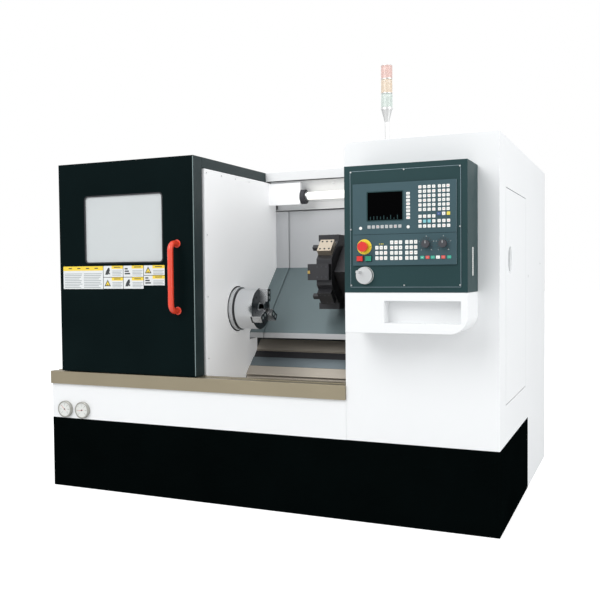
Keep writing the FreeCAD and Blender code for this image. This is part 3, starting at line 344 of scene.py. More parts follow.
class Form:
    """A mesh under construction, in millimetres off the base's corner, with a finish for each face.

    Every method that adds a shape returns the form, so that a piece can be written as one chain.
    """

    def __init__(self) -> None:
        """Start with no faces."""
        self.bm = bmesh.new()
        self.finishes: list[Finish] = []

    def index(self, finish: Finish) -> int:
        """Number of a finish on this form, added when new."""
        if finish not in self.finishes:
            self.finishes.append(finish)
        return self.finishes.index(finish)

    def take(self, part: bmesh.types.BMesh, finish: Finish, place: Matrix | None = None) -> "Form":
        """Move a finished part into this form.

        Args:
            part: the part, which is freed.
            finish: what all of its faces are finished in.
            place: its placement in millimetres, or none where it is in place already.

        Returns:
            This form.
        """
        number = self.index(finish)
        for face in part.faces:
            face.material_index = number
            face.smooth = True
        if place is not None:
            part.transform(place)
        passing = bpy.data.meshes.new("passing")
        part.to_mesh(passing)
        part.free()
        self.bm.from_mesh(passing)
        bpy.data.meshes.remove(passing)
        return self

    def take_mesh(self, mesh: bpy.types.Mesh, finish: Finish, place: Matrix | None = None) -> "Form":
        """Move a plain mesh into this form, as take does with a part."""
        part = bmesh.new()
        part.from_mesh(mesh)
        bpy.data.meshes.remove(mesh)
        return self.take(part, finish, place)

    def box(self, low: Point, high: Point, finish: Finish, bevel: float, place: Matrix) -> "Form":
        """Add a box with softened edges.

        Args:
            low: its lowest corner.
            high: its highest corner.
            finish: its finish.
            bevel: width of its softened edges.
            place: its placement.

        Returns:
            This form.
        """
        part = bmesh.new()
        bmesh.ops.create_cube(part, size=1.0)
        size = Vector(high) - Vector(low)
        middle = (Vector(high) + Vector(low)) / 2
        part.transform(Matrix.Translation(middle) @ Matrix.Diagonal((*size, 1.0)))
        soften(part, part.edges[:], min(bevel, THINNEST_SHARE * min(size)))
        return self.take(part, finish, place)

    def slab(self, outline: Sequence[Flat], rear: float, front: float, finish: Finish, place: Matrix,
             bevel: float = 0.5, holes: Sequence[Sequence[Flat]] = ()) -> "Form":
        """Add a flat piece of an outline's shape, with holes and a softened front rim.

        Args:
            outline: its outer points, counter-clockwise.
            rear: where its back lies along the placement's Z.
            front: where its front lies.
            finish: its finish.
            place: its placement.
            bevel: width of its softened front rim.
            holes: outlines that are cut through it.

        Returns:
            This form.
        """
        part = bmesh.new()
        rims = []
        for ring in (outline, *holes):
            points = [part.verts.new((x, y, rear)) for x, y in ring]
            rims += [part.edges.new((points[i - 1], points[i])) for i in range(len(points))]
        bmesh.ops.triangle_fill(part, edges=rims, use_beauty=True, normal=(0, 0, 1))
        bmesh.ops.recalc_face_normals(part, faces=part.faces[:])
        if part.faces[0].normal.z > 0:
            bmesh.ops.reverse_faces(part, faces=part.faces[:])
        grown = bmesh.ops.extrude_face_region(part, geom=part.faces[:], use_keep_orig=True)
        lifted = [item for item in grown["geom"] if isinstance(item, bmesh.types.BMVert)]
        bmesh.ops.translate(part, verts=lifted, vec=(0, 0, front - rear))
        bmesh.ops.recalc_face_normals(part, faces=part.faces[:])
        if bevel:
            rim = [e for e in part.edges if all(abs(v.co.z - front) < SAME_POINT / 10 for v in e.verts)
                   and any(abs(f.normal.z) < 0.5 for f in e.link_faces)]
            soften(part, rim, bevel)
        return self.take(part, finish, place)

    def mark(self, outline: Sequence[Flat], finish: Finish, place: Matrix, rear: float = 0.0,
             front: float = 0.12) -> "Form":
        """Add a thin flat print with sharp edges, as slab does with a plate."""
        return self.slab(outline, rear, front, finish, place, 0.0)

    def pattern(self, tree: "Tree", finish: Finish, place: Matrix, points: Sequence[Flat] = (),
                **sizes: float) -> "Form":
        """Add what a tree makes.

        Args:
            tree: the tree.
            finish: its finish.
            place: its placement.
            points: where it puts its shapes, if it doesn't lay them out itself.
            **sizes: its named inputs, with _ for a space.

        Returns:
            This form.
        """
        return self.take_mesh(tree.run(finish, points, **sizes), finish, place)

    def screws(self, finish: Finish, place: Matrix, points: Sequence[Flat], radius: float, height: float,
               recess: float = 0.0) -> "Form":
        """Add socket-head screws or, with no recess, rivets.

        Args:
            finish: their finish.
            place: the placement whose flat points they stand on.
            points: where they stand.
            radius: their heads' radius.
            height: their heads' height.
            recess: their sockets' depth.

        Returns:
            This form.
        """
        return self.pattern(PATTERNS.screws, finish, place, points, Radius=radius, Height=height,
                            Recess=recess)

    def ticks(self, finish: Finish, place: Matrix, count: int, radius: float, size: Point,
              arc: Flat | None = None) -> "Form":
        """Add small bars along an arc, pointing at its centre.

        Args:
            finish: their finish.
            place: the placement whose Z the arc goes round.
            count: how many there are.
            radius: the arc's radius.
            size: a bar's length, width and thickness.
            arc: the arc's start and sweep, or none for bars all the way round.

        Returns:
            This form.
        """
        start, sweep = arc or (0.0, math.tau * (count - 1) / count)
        length, width, thick = size
        return self.pattern(PATTERNS.ticks, finish, place, Count=count, Radius=radius, Start=start,
                            Sweep=sweep, Length=length, Width=width, Thick=thick)

    def louvres(self, finish: Finish, place: Matrix, count: int, pitch: float, length: float,
                depth: float) -> "Form":
        """Add quarter-round ribs, one below the other.

        Args:
            finish: their finish.
            place: the placement of the uppermost.
            count: how many there are.
            pitch: the step from one to the next.
            length: their length.
            depth: how far they stand out.

        Returns:
            This form.
        """
        return self.pattern(PATTERNS.ribs, finish, place @ HANG, Count=count, Pitch=pitch, Length=length,
                            Depth=depth)

    def turned(self, profile: Sequence[Flat], finish: Finish, place: Matrix, steps: int = 48) -> "Form":
        """Add a turned piece: a profile spun about the placement's Z.

        Args:
            profile: (radius, height) points, from the axis or back to it, or a closed ring of points.
            finish: its finish.
            place: its placement.
            steps: how many faces it has round its axis.

        Returns:
            This form.
        """
        part = bmesh.new()
        rings = []
        for step in range(steps):
            rings.append([part.verts.new((*polar(r, math.tau * step / steps), z)) for r, z in profile])
        loop = profile[0][0] > 0 and profile[-1][0] > 0
        for step in range(steps):
            here, there = rings[step - 1], rings[step]
            for i in range(0 if loop else 1, len(profile)):
                part.faces.new((here[i - 1], here[i], there[i], there[i - 1]))
        bmesh.ops.remove_doubles(part, verts=part.verts[:], dist=SAME_POINT)
        bmesh.ops.dissolve_degenerate(part, edges=part.edges[:], dist=SAME_POINT)
        bmesh.ops.recalc_face_normals(part, faces=part.faces[:])
        return self.take(part, finish, place)

    def numeral(self, figure: str, height: float, finish: Finish, place: Matrix) -> "Form":
        """Add a plain number in raised print, centred on its placement.

        Args:
            figure: the number.
            height: its height.
            finish: its finish.
            place: its placement.

        Returns:
            This form.
        """
        curve = bpy.data.curves.new("figure", "FONT")
        curve.body = figure
        curve.align_x = curve.align_y = "CENTER"
        curve.size = height
        curve.extrude = FIGURE_RISE
        curve.resolution_u = FIGURE_STEPS
        drawn = bpy.data.objects.new("figure", curve)
        bpy.context.scene.collection.objects.link(drawn)
        mesh = evaluated(drawn)
        bpy.data.objects.remove(drawn)
        bpy.data.curves.remove(curve)
        return self.take_mesh(mesh, finish, place)

    def piece(self, name: str, body: str = "machine", slot: str = "white_paint",
              replaces: Iterable[str] = ()) -> bpy.types.Object:
        """Turn the form into a piece that rides on a body.

        Args:
            name: the piece's name.
            body: the frame body that it moves with.
            slot: the record's material slot; not used.
            replaces: frame nodes that it stands for.

        Returns:
            The finished object.
        """
        mesh = bpy.data.meshes.new(name)
        self.bm.to_mesh(mesh)
        self.bm.free()
        corner = Matrix.Translation((PLINTH_LOW.x, PLINTH_LOW.y, 0.0))
        mesh.transform(corner @ Matrix.Scale(MM, 4))
        for finish in self.finishes:
            mesh.materials.append(finish.material())
        return mounted(name, mesh, body, replaces)


def mounted(name: str, mesh: bpy.types.Mesh, body: str, replaces: Iterable[str] = (),
            bevel: float = 0.0) -> bpy.types.Object:
    """Put a mesh in the scene as a piece, with clean shading.

    Args:
        name: the piece's name.
        mesh: its mesh, in metres and in place.
        body: the frame body that it moves with.
        replaces: frame nodes that it stands for.
        bevel: width in millimetres by which sharp edges are softened.

    Returns:
        The object, with no modifier left on it.
    """
    mesh.shade_smooth()
    mesh.set_sharp_from_angle(angle=CREASE)
    made = bpy.data.objects.new(name, mesh)
    bpy.context.scene.collection.objects.link(made)
    if bevel:
        soft = made.modifiers.new("soften", "BEVEL")
        soft.width = bevel * MM
        soft.segments = BEVEL_STEPS
        soft.limit_method = "ANGLE"
        soft.angle_limit = CREASE
        soft.use_clamp_overlap = True
        soft.miter_outer = "MITER_ARC"
    weigh = made.modifiers.new("weigh", "WEIGHTED_NORMAL")
    weigh.keep_sharp = not bevel
    shaped = evaluated(made)
    made.modifiers.clear()
    made.data = shaped
    shaped.name = name
    bpy.data.meshes.remove(mesh)
    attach(made, body)
    if replaces:
        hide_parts(*replaces)
    LOG.info("piece %s on %s: %d faces", name, body, len(shaped.polygons))
    return made


Paint = Callable[[Point, Vector], Finish]


MERGE_DISTANCE = 2e-5
FLAT_ANGLE = math.radians(0.8)


def softened(node: str, paint: Finish | Paint, bevel: float) -> bpy.types.Object:
    """Stand a piece with softened edges in for a frame node of the same shape.

    Args:
        node: the frame node.
        paint: its finish, or a rule that gives one from a face's middle (millimetres) and its normal.
        bevel: width of its softened edges.

    Returns:
        The finished object.
    """
    form = bmesh.new()
    form.from_mesh(frame["nodes"][node].data)
    bmesh.ops.remove_doubles(form, verts=form.verts[:], dist=MERGE_DISTANCE)
    bmesh.ops.dissolve_degenerate(form, edges=form.edges[:], dist=SAME_POINT / 10)
    bmesh.ops.dissolve_limit(form, angle_limit=FLAT_ANGLE, verts=form.verts[:], edges=form.edges[:])
    finishes: list[Finish] = []
    for face in form.faces:
        chosen = paint if isinstance(paint, Finish) else paint(lay(face.calc_center_median()), face.normal)
        if chosen not in finishes:
            finishes.append(chosen)
        face.material_index = finishes.index(chosen)
    title = f"{node}_finished"
    mesh = bpy.data.meshes.new(title)
    form.to_mesh(mesh)
    form.free()
    for finish in finishes:
        mesh.materials.append(finish.material())
    return mounted(title, mesh, BODY_OF[node], [node], bevel)


def dress(finish: Finish, *nodes: str) -> None:
    """Give frame nodes that stay as they are their finish."""
    for node in nodes:
        held = frame["nodes"][node]
        held.data.materials.clear()
        held.data.materials.append(finish.material())
        LOG.info("node %s in %s", node, finish.name)


# ------------------------------------------------------------------ patterned pieces
class Tree:
    """A Geometry Nodes tree under construction, with named sizes in millimetres."""

    def __init__(self, name: str) -> None:
        """Start a tree that takes a mesh and gives one.

        Args:
            name: the tree's name.
        """
        self.group = bpy.data.node_groups.new(name, "GeometryNodeTree")
        self.sockets: dict[str, str] = {}
        self.group.interface.new_socket("Geometry", in_out="INPUT", socket_type="NodeSocketGeometry")
        self.group.interface.new_socket("Geometry", in_out="OUTPUT", socket_type="NodeSocketGeometry")
        self.given = self.group.nodes.new("NodeGroupInput")
        self.made = self.group.nodes.new("NodeGroupOutput")
        self.finish = self.named("Finish", "NodeSocketMaterial")

    def named(self, title: str, kind: str = "NodeSocketFloat",
              value: float | None = None) -> bpy.types.NodeSocket:
        """Add a named input.

        Args:
            title: its name.
            kind: its socket type.
            value: its default.

        Returns:
            The socket to link from.
        """
        row = self.group.interface.new_socket(title, in_out="INPUT", socket_type=kind)
        if value is not None:
            row.default_value = value
        self.sockets[title] = row.identifier
        return next(socket for socket in self.given.outputs if socket.identifier == row.identifier)

    def node(self, kind: str, feeds: dict[str | int, object] | None = None,
             **settings: object) -> bpy.types.Node:
        """Add a node and feed its inputs.

        Args:
            kind: the node's type, without its GeometryNode prefix where it has one.
            feeds: what each input is linked from or set to, by name or number.
            **settings: the node's own properties.

        Returns:
            The node.
        """
        made = self.group.nodes.new(kind if kind.startswith("ShaderNode") else f"GeometryNode{kind}")
        for setting, value in settings.items():
            setattr(made, setting, value)
        for name, source in (feeds or {}).items():
            if isinstance(source, bpy.types.NodeSocket):
                self.group.links.new(source, made.inputs[name])
            else:
                made.inputs[name].default_value = source
        return made

    def named_all(self, **values: float) -> list[bpy.types.NodeSocket]:
        """Add named inputs in order, whole numbers for counts and sizes otherwise, with _ for a space."""
        kinds = {int: "NodeSocketInt", float: "NodeSocketFloat"}
        return [self.named(title.replace("_", " "), kinds[type(value)], value)
                for title, value in values.items()]

    def math(self, operation: str, *values: object) -> bpy.types.NodeSocket:
        """One arithmetic step on sizes or plain numbers."""
        return self.node("ShaderNodeMath", dict(enumerate(values)), operation=operation).outputs[0]

    def times(self, source: bpy.types.NodeSocket, factor: float) -> bpy.types.NodeSocket:
        """A size multiplied by a plain factor."""
        return self.math("MULTIPLY", source, factor)

    def vector(self, x: object = 0.0, y: object = 0.0, z: object = 0.0) -> bpy.types.NodeSocket:
        """Three sizes as one vector."""
        return self.node("ShaderNodeCombineXYZ", {0: x, 1: y, 2: z}).outputs[0]

    def stepped(self, mesh: bpy.types.NodeSocket, rise: object, scale: float,
                top: bpy.types.NodeSocket | None = None) -> tuple[bpy.types.NodeSocket, bpy.types.NodeSocket]:
        """Extrude the last top faces and scale the new top.

        Args:
            mesh: the mesh so far.
            rise: how far the top moves out.
            scale: the new top's size as a share of the old one's.
            top: which faces are the old top, or all of them.

        Returns:
            The mesh and its new top's selection.
        """
        feeds: dict[str | int, object] = {"Mesh": mesh, "Offset Scale": rise, "Individual": False}
        if top is not None:
            feeds["Selection"] = top
        grown = self.node("ExtrudeMesh", feeds)
        sized = self.node("ScaleElements", {"Geometry": grown.outputs["Mesh"],
                                            "Selection": grown.outputs["Top"], "Scale": scale})
        return sized.outputs[0], grown.outputs["Top"]

    def close(self, points: bpy.types.NodeSocket, shape: bpy.types.NodeSocket,
              turn: bpy.types.NodeSocket | None = None) -> "Tree":
        """End the tree: the shape on every point, realised and finished.

        Args:
            points: the geometry whose points carry the shape.
            shape: the shape.
            turn: its rotation on each point.

        Returns:
            This tree.
        """
        feeds: dict[str | int, object] = {"Points": points, "Instance": shape}
        if turn is not None:
            feeds["Rotation"] = turn
        spread = self.node("InstanceOnPoints", feeds)
        real = self.node("RealizeInstances", {"Geometry": spread.outputs[0]})
        painted = self.node("SetMaterial", {"Geometry": real.outputs[0], "Material": self.finish})
        self.group.links.new(painted.outputs[0], self.made.inputs[0])
        return self

    def run(self, finish: Finish, points: Sequence[Flat] = (), **sizes: float) -> bpy.types.Mesh:
        """Evaluate the tree into a plain mesh in millimetres.

        Args:
            finish: the finish it sets.
            points: points of the mesh it is given, in its own plane.
            **sizes: its named inputs, with _ for a space.

        Returns:
            The mesh.
        """
        seed = bpy.data.meshes.new("seed_points")
        seed.from_pydata([(x, y, 0.0) for x, y in points], [], [])
        held = bpy.data.objects.new("seed_points", seed)
        bpy.context.scene.collection.objects.link(held)
        modifier = held.modifiers.new("pattern", "NODES")
        modifier.node_group = self.group
        modifier[self.sockets["Finish"]] = finish.material()
        for title, value in sizes.items():
            modifier[self.sockets[title.replace("_", " ")]] = value
        mesh = evaluated(held)
        held.modifiers.clear()
        bpy.data.objects.remove(held)
        bpy.data.meshes.remove(seed)
        return mesh


def screw_tree() -> Tree:
    """Socket-head screws or, with no recess, rivets, on the points that it is given."""
    tree = Tree("screws")
    radius, height, recess = tree.named_all(Radius=4.0, Height=2.5, Recess=1.2)
    rim = tree.node("MeshCircle", {"Vertices": 18, "Radius": radius}, fill_type="NGON")
    mesh, top = tree.stepped(rim.outputs[0], tree.times(height, 0.7), 1.0)
    mesh, top = tree.stepped(mesh, tree.times(height, 0.3), 0.82, top)
    mesh, top = tree.stepped(mesh, 0.0, 0.56, top)
    mesh, top = tree.stepped(mesh, tree.times(recess, -1.0), 0.94, top)
    return tree.close(tree.given.outputs["Geometry"], mesh)


def key_tree() -> Tree:
    """Rows and columns of keys with round corners and softened rims."""
    tree = Tree("keys")
    columns, rows, pitch_x, pitch_y, width, tall, thick = tree.named_all(
        Columns=3, Rows=3, Pitch_across=17.0, Pitch_up=17.0, Width=13.0, Tall=13.0, Thick=2.0)
    across, up = (tree.math("MULTIPLY", tree.math("SUBTRACT", count, 1.0), pitch)
                  for count, pitch in ((columns, pitch_x), (rows, pitch_y)))
    grid = tree.node("MeshGrid", {"Size X": across, "Size Y": up, "Vertices X": columns, "Vertices Y": rows})
    rim = tree.node("CurvePrimitiveQuadrilateral", {"Width": width, "Height": tall})
    soft = tree.node("FilletCurve", {"Curve": rim.outputs[0], "Radius": tree.times(thick, 0.9), "Count": 3},
                     mode="POLY")
    flat = tree.node("FillCurve", {"Curve": soft.outputs[0]}, mode="NGONS")
    mesh, top = tree.stepped(flat.outputs[0], tree.times(thick, 0.75), 1.0)
    mesh, top = tree.stepped(mesh, tree.times(thick, 0.25), 0.93, top)
    return tree.close(grid.outputs[0], mesh)


def tick_tree() -> Tree:
    """Scale marks along an arc, pointing at its centre."""
    tree = Tree("ticks")
    count, radius, start, sweep, length, width, thick = tree.named_all(
        Count=11, Radius=20.0, Start=0.0, Sweep=4.7, Length=3.0, Width=0.7, Thick=0.3)
    line = tree.node("MeshLine", {"Count": count, "Offset": (0.0, 0.0, 0.0)})
    step = tree.math("DIVIDE", sweep, tree.math("SUBTRACT", count, 1.0))
    turn = tree.math("MULTIPLY_ADD", tree.node("InputIndex").outputs[0], step, start)
    block = tree.node("MeshCube", {"Size": tree.vector(length, width, thick)})
    moved = tree.node("Transform", {"Geometry": block.outputs["Mesh"], "Translation": tree.vector(radius)})
    return tree.close(line.outputs[0], moved.outputs[0], tree.vector(z=turn))


def rib_tree() -> Tree:
    """Quarter-round ribs or louvres, one above the other."""
    tree = Tree("ribs")
    count, pitch, length, depth = tree.named_all(Count=8, Pitch=24.0, Length=160.0, Depth=7.0)
    line = tree.node("MeshLine", {"Count": count, "Offset": tree.vector(y=pitch)})
    bow = tree.node("CurveArc", {"Resolution": 7, "Radius": depth, "Sweep Angle": math.pi / 2,
                                 "Connect Center": True})
    run = tree.node("CurvePrimitiveLine", {"Start": tree.vector(tree.times(length, -0.5)),
                                           "End": tree.vector(tree.times(length, 0.5))})
    bar = tree.node("CurveToMesh", {"Curve": run.outputs[0], "Profile Curve": bow.outputs[0],
                                    "Fill Caps": True})
    return tree.close(line.outputs[0], bar.outputs[0])


@dataclass(frozen=True)
class Patterns:
    """The trees for everything that repeats."""

    screws: Tree
    keys: Tree
    ticks: Tree
    ribs: Tree


PATTERNS = Patterns(screw_tree(), key_tree(), tick_tree(), rib_tree())


# ------------------------------------------------------------------ enclosure
@dataclass
class Enclosure:
    """White sheet-metal skins, the black plinth and the steel sill under the door."""

    fold: float = 2.2
    rivet_radius: float = 4.5
    rivet_pitch: float = 150.0
    rivet_margin: float = 18.0
    bare_back: float = 60.0
    header_margin: float = 60.0
    header_screws: int = 5
    dial_stand: float = 1.7
    dial_rim: float = 6.5
    dial_arc: Flat = (-0.75, 4.7)
    dial_figures: int = 7
    needles: Flat = (2.4, 3.3)
    cover_at: Point = (60.0, 440.0, 1010.0)
    cover_size: Flat = (520.0, 620.0)
    cover_margin: float = 20.0

    def build(self) -> None:
        """Make every skin and what is fastened to it."""
        for node in ("left_side_panel", "headstock_cover", "chamber_header", "roof", "right_front_cabinet",
                     "right_side_panel", "rear_panel", "lower_front_panel"):
            softened(node, WHITE_PAINT, self.fold)
        # The side wall glows faintly: painted light.
        softened("headstock_side_wall", INNER_WHITE_PAINTED_GLOW, 1.2)
        softened("base_plinth", PLINTH_PAINT, self.fold)
        softened("door_sill", SILL_STEEL, 1.0)
        dress(GROUND_STEEL, "levelling_feet")
        self.side_wall_rivets()
        self.header_rivets()
        self.gauges()
        self.left_service_cover()

    def rivets(self, name: str, place: Matrix, points: list[Flat]) -> None:
        """A piece of flat-headed rivets."""
        Form().screws(ZINC_SCREW, place, points, self.rivet_radius, 2.0).piece(name)

    def side_wall_rivets(self) -> None:
        """Rivets along the top and front edges of the headstock's side wall."""
        low, high = node_span("headstock_side_wall")
        margin, pitch = self.rivet_margin, self.rivet_pitch
        count = int((high[1] - low[1] - self.bare_back) // pitch)
        points = [(low[1] + margin + pitch * i, high[2] - margin) for i in range(count)]
        count = int((high[2] - low[2]) // (2 * pitch))
        points += [(low[1] + margin, high[2] - 2 * pitch * i - margin) for i in range(1, count + 1)]
        self.rivets("side_wall_rivets", Facing.RIGHT.at(high[0], 0.0, 0.0), points)

    def header_rivets(self) -> None:
        """Screws along the lower edge of the chamber's header."""
        low, high = node_span("chamber_header")
        pitch = (high[0] - low[0] - 2 * self.header_margin) / (self.header_screws - 1)
        points = [(low[0] + self.header_margin + pitch * i, 0.0) for i in range(self.header_screws)]
        self.rivets("header_screws", Facing.FRONT.at(0.0, low[1] + 0.2, high[2] - 25.0), points)

    def gauges(self) -> None:
        """Two pressure gauges: bezel, dial, scale marks, numbers and needle."""
        softened("pressure_gauges", GAUGE_RIM, 0.8)
        low, high = node_span("pressure_gauges")
        radius = (high[2] - low[2]) / 2
        face = radius - self.dial_rim
        start, sweep = self.dial_arc
        scales = ((31, 5.5, (2.4, 0.5, 0.4), -0.9, LABEL_GREY),
                  (self.dial_figures, 6.5, (5.0, 1.1, 0.4), -0.85, INK))
        form = Form()
        for along, reading in zip((low[0] + radius, high[0] - radius), self.needles):
            front = Facing.FRONT.at(along, low[1] - self.dial_stand, (low[2] + high[2]) / 2)
            form.turned([(radius, -1.6), (radius, -0.6), (radius - 2, 1.2), (radius - 6, 1.2), (face, -1.5)],
                        GAUGE_RIM, front)
            form.mark(circle(face), GAUGE_FACE, front, -1.6, -1.0)
            for count, inset, size, lift, ink in scales:
                form.ticks(ink, raised(front, lift), count, face - inset, size, self.dial_arc)
            for number in range(self.dial_figures):
                turn = start + sweep * number / (self.dial_figures - 1)
                at = Matrix.Translation((*polar(face - 13.5, turn), -0.9))
                form.numeral(str(12 - 2 * number), 6.0, INK, front @ at)
            needle = Matrix.Translation((0, 0, -0.6)) @ Matrix.Rotation(reading, 4, "Z")
            form.mark([(-9, -1.2), (face - 7, -0.3), (face - 7, 0.3), (-9, 1.2)], STOP_RED, front @ needle,
                      -0.1, 0.2)
            form.turned([(0, 0.5), (3.2, 0.5), (3.6, 0.0), (3.6, -0.8), (0, -0.8)], KNOB_BLACK, front)
        form.piece("gauge_dials", slot="aluminium")

    def left_service_cover(self) -> None:
        """A bolted cover with cooling louvres on the headstock's end."""
        side = Facing.LEFT.at(*self.cover_at)
        width, height = self.cover_size
        x, y = width / 2 - self.cover_margin, height / 2 - self.cover_margin
        points = [(across, up) for across in (-x, 0, x) for up in (-y, y)] + [(-x, 0), (x, 0)]
        form = Form().slab(rounded_rectangle(width, height, 22), 0.0, 2.5, WHITE_PAINT, side, 0.8)
        form.screws(ZINC_SCREW, raised(side, 2.4), points, 7.0, 3.5, 2.2)
        for across in (-105, 105):
            form.louvres(WHITE_PAINT, side @ Matrix.Translation((across, 120, 2.4)), 9, 30.0, 170.0, 9.0)
        form.piece("headstock_service_cover")


# ------------------------------------------------------------------ sliding door
class Pictogram(Enum):
    """Plain shapes on the door's labels, in the order that they take turns in."""

    TRIANGLE = "triangle"
    LEVER = "lever"
    BARS = "bars"


@dataclass
class SlidingDoor:
    """The black door with its pane, seal, red handle and label strip."""

    seal: float = 6.0
    pane: Flat = (458.0, 332.0)
    pane_radius: float = 18.0
    fold_from: float = 700.0
    bar_radius: float = 14.2
    foot_radius: float = 19.0
    foot_inset: float = 14.0
    label_thick: float = 0.6
    print_thick: float = 0.12
    wide_label: tuple[float, float, float, float] = (86.0, 333.0, 1017.0, 1131.0)
    columns: tuple[Point, ...] = ((336.0, 453.0, 1018.0), (456.0, 573.0, 1018.0), (576.0, 695.0, 1034.0))
    labels_top: float = 1134.0
    label_gap: float = 2.5
    body: str = "sliding_door"

    def build(self) -> None:
        """Make the door and what it carries."""
        softened("door_panel", self.paint, 2.6)
        softened("door_top_panel", self.paint, 1.4)
        softened("door_handle", RED_GLOSS, 0.8)
        dress(WINDOW_PANE_PAINTED_REFLECTION, "door_window")
        self.window_seal()
        self.handle_flanges()
        self.labels()

    def paint(self, middle: Point, normal: Vector) -> Finish:
        """Painted highlight on the front-right corner, painted light on the right-facing flange as a lighter
        black, black elsewhere.
        """
        # Painted light: corner faces take a highlight colour, right-facing flange faces a lighter black.
        if normal.x > 0.3 and normal.y < -0.3:
            return DOOR_HIGHLIGHT
        return DOOR_SIDE_LIGHT if normal.x > 0.7 and middle[0] > self.fold_from else DOOR_PAINT

    def window_seal(self) -> None:
        """The rubber profile that holds the pane."""
        along, _, up = middle_of("door_window")
        width, height = self.pane
        outer, inner = (rounded_rectangle(width + grow, height + grow, self.pane_radius + grow / 2)
                        for grow in (self.seal, -self.seal))
        form = Form().slab(outer, -1.0, 1.6, BLACK_OXIDE, Facing.FRONT.at(along, 0.0, up), 0.7, [inner])
        form.piece("window_seal", self.body, "rubber")

    def handle_flanges(self) -> None:
        """Round feet under the handle's ends."""
        low, high = node_span("door_handle")
        bar, foot = self.bar_radius, self.foot_radius
        form = Form()
        for up in (low[2] + self.foot_inset, high[2] - self.foot_inset):
            front = Facing.FRONT.at((low[0] + high[0]) / 2, 0.0, up)
            form.turned([(bar, 0.0), (foot, 0.0), (foot, 2.0), (foot - 2, 4.0), (bar, 4.0)], RED_GLOSS, front)
        form.piece("handle_feet", self.body, "red_plastic")

    def labels(self) -> None:
        """The strip of generic label fields under the window, and a strip of painted highlight down the
        door's right edge.
        """
        form = Form()
        self.instruction_label(form, *self.wide_label)
        shapes = tuple(Pictogram)
        for column, (left, right, start) in enumerate(self.columns):
            tall = (self.labels_top - start) / 2
            for row in range(2):
                base = start + tall * row
                shape = shapes[(column + row) % len(shapes)]
                self.warning_label(form, left, right, base, base + tall - self.label_gap, shape)
        low, high = node_span("door_panel")
        # Painted highlight: a light strip down the door's front by its right edge.
        self.field(form, high[0] - 4.5, high[0] - 0.4, low[2] + 4.0, high[2] - 3.0, DOOR_HIGHLIGHT)
        form.piece("door_labels_and_highlight_strip", self.body, "white_paint")

    def field(self, form: Form, left: float, right: float, base: float, top: float, finish: Finish,
              level: int = 0) -> None:
        """A printed rectangle on the door's face.

        Args:
            form: the form it is added to.
            left: its left edge.
            right: its right edge.
            base: its lower edge.
            top: its upper edge.
            finish: its colour.
            level: how many prints it lies on.
        """
        rear = self.label_thick * (0 if level == 0 else 1) + self.print_thick * max(0, level - 1)
        front = self.label_thick + self.print_thick * level
        outline = rounded_rectangle(right - left, top - base, 2.0 if level == 0 else 0.6, 3)
        place = Facing.FRONT.at((left + right) / 2, 0.0, (base + top) / 2)
        form.mark(outline, finish, place, rear - 0.05, front)

    def instruction_label(self, form: Form, left: float, right: float, base: float, top: float) -> None:
        """A wide label with a header and two columns of lines."""
        self.field(form, left, right, base, top, LABEL_WHITE)
        self.field(form, left, right, top - 22, top, LABEL_YELLOW, 1)
        for number in range(4):
            start = left + 34 + 54 * number
            self.field(form, start, start + 20, top - 13, top - 8, INK, 2)
        middle = (left + right) / 2
        for column_left, column_right in ((left + 8, middle - 5), (middle + 5, right - 8)):
            for row in range(9):
                line = top - 36 - 8.6 * row
                short = 18.0 if row % 4 == 3 else 4.0 * (row % 3)
                self.field(form, column_left, column_right - short, line - 3.6, line, LABEL_GREY, 1)

    def warning_label(self, form: Form, left: float, right: float, base: float, top: float,
                      shape: Pictogram) -> None:
        """A small label: pictogram on the left, yellow header and lines on the right."""
        self.field(form, left, right, base, top, LABEL_WHITE)
        middle = left + 0.42 * (right - left)
        self.field(form, middle, right, top - 15, top, LABEL_YELLOW, 1)
        self.field(form, middle + 14, right - 14, top - 9, top - 5, INK, 2)
        for row in range(4):
            line = top - 24 - 7.0 * row
            self.field(form, middle + 4, right - 5 - 6.0 * (row % 2), line - 3.0, line, LABEL_GREY, 1)
        front = Facing.FRONT.at((left + middle) / 2, -self.label_thick, (base + top) / 2)
        if shape is Pictogram.TRIANGLE:
            form.mark([(-19, -15), (19, -15), (0, 18)], INK, front)
            form.mark([(-12, -11), (12, -11), (0, 10)], LABEL_YELLOW, front, 0.1, 0.2)
            form.mark(circle(3.0, 16, (0, -8)), INK, front, 0.18, 0.28)
        elif shape is Pictogram.LEVER:
            form.mark([(-14, -16), (2, -16), (14, 4), (12, 18), (4, 18), (-8, 2)], INK, front)
            form.mark(oblong(6, -14, 14, -6), INK, front)
        else:
            for bar in range(3):
                form.mark(oblong(-17, -15 + 12 * bar, 15 - 7 * bar, -8 + 12 * bar), INK, front)


# ------------------------------------------------------------------ control desk
@dataclass(frozen=True)
class KeyGroup:
    """One block of equal keys on the desk, by its middle and its counts."""

    along: float
    up: float
    columns: int
    rows: int
    pitch_across: float
    pitch_up: float
    width: float
    tall: float
    finish: Finish = KEY_WHITE


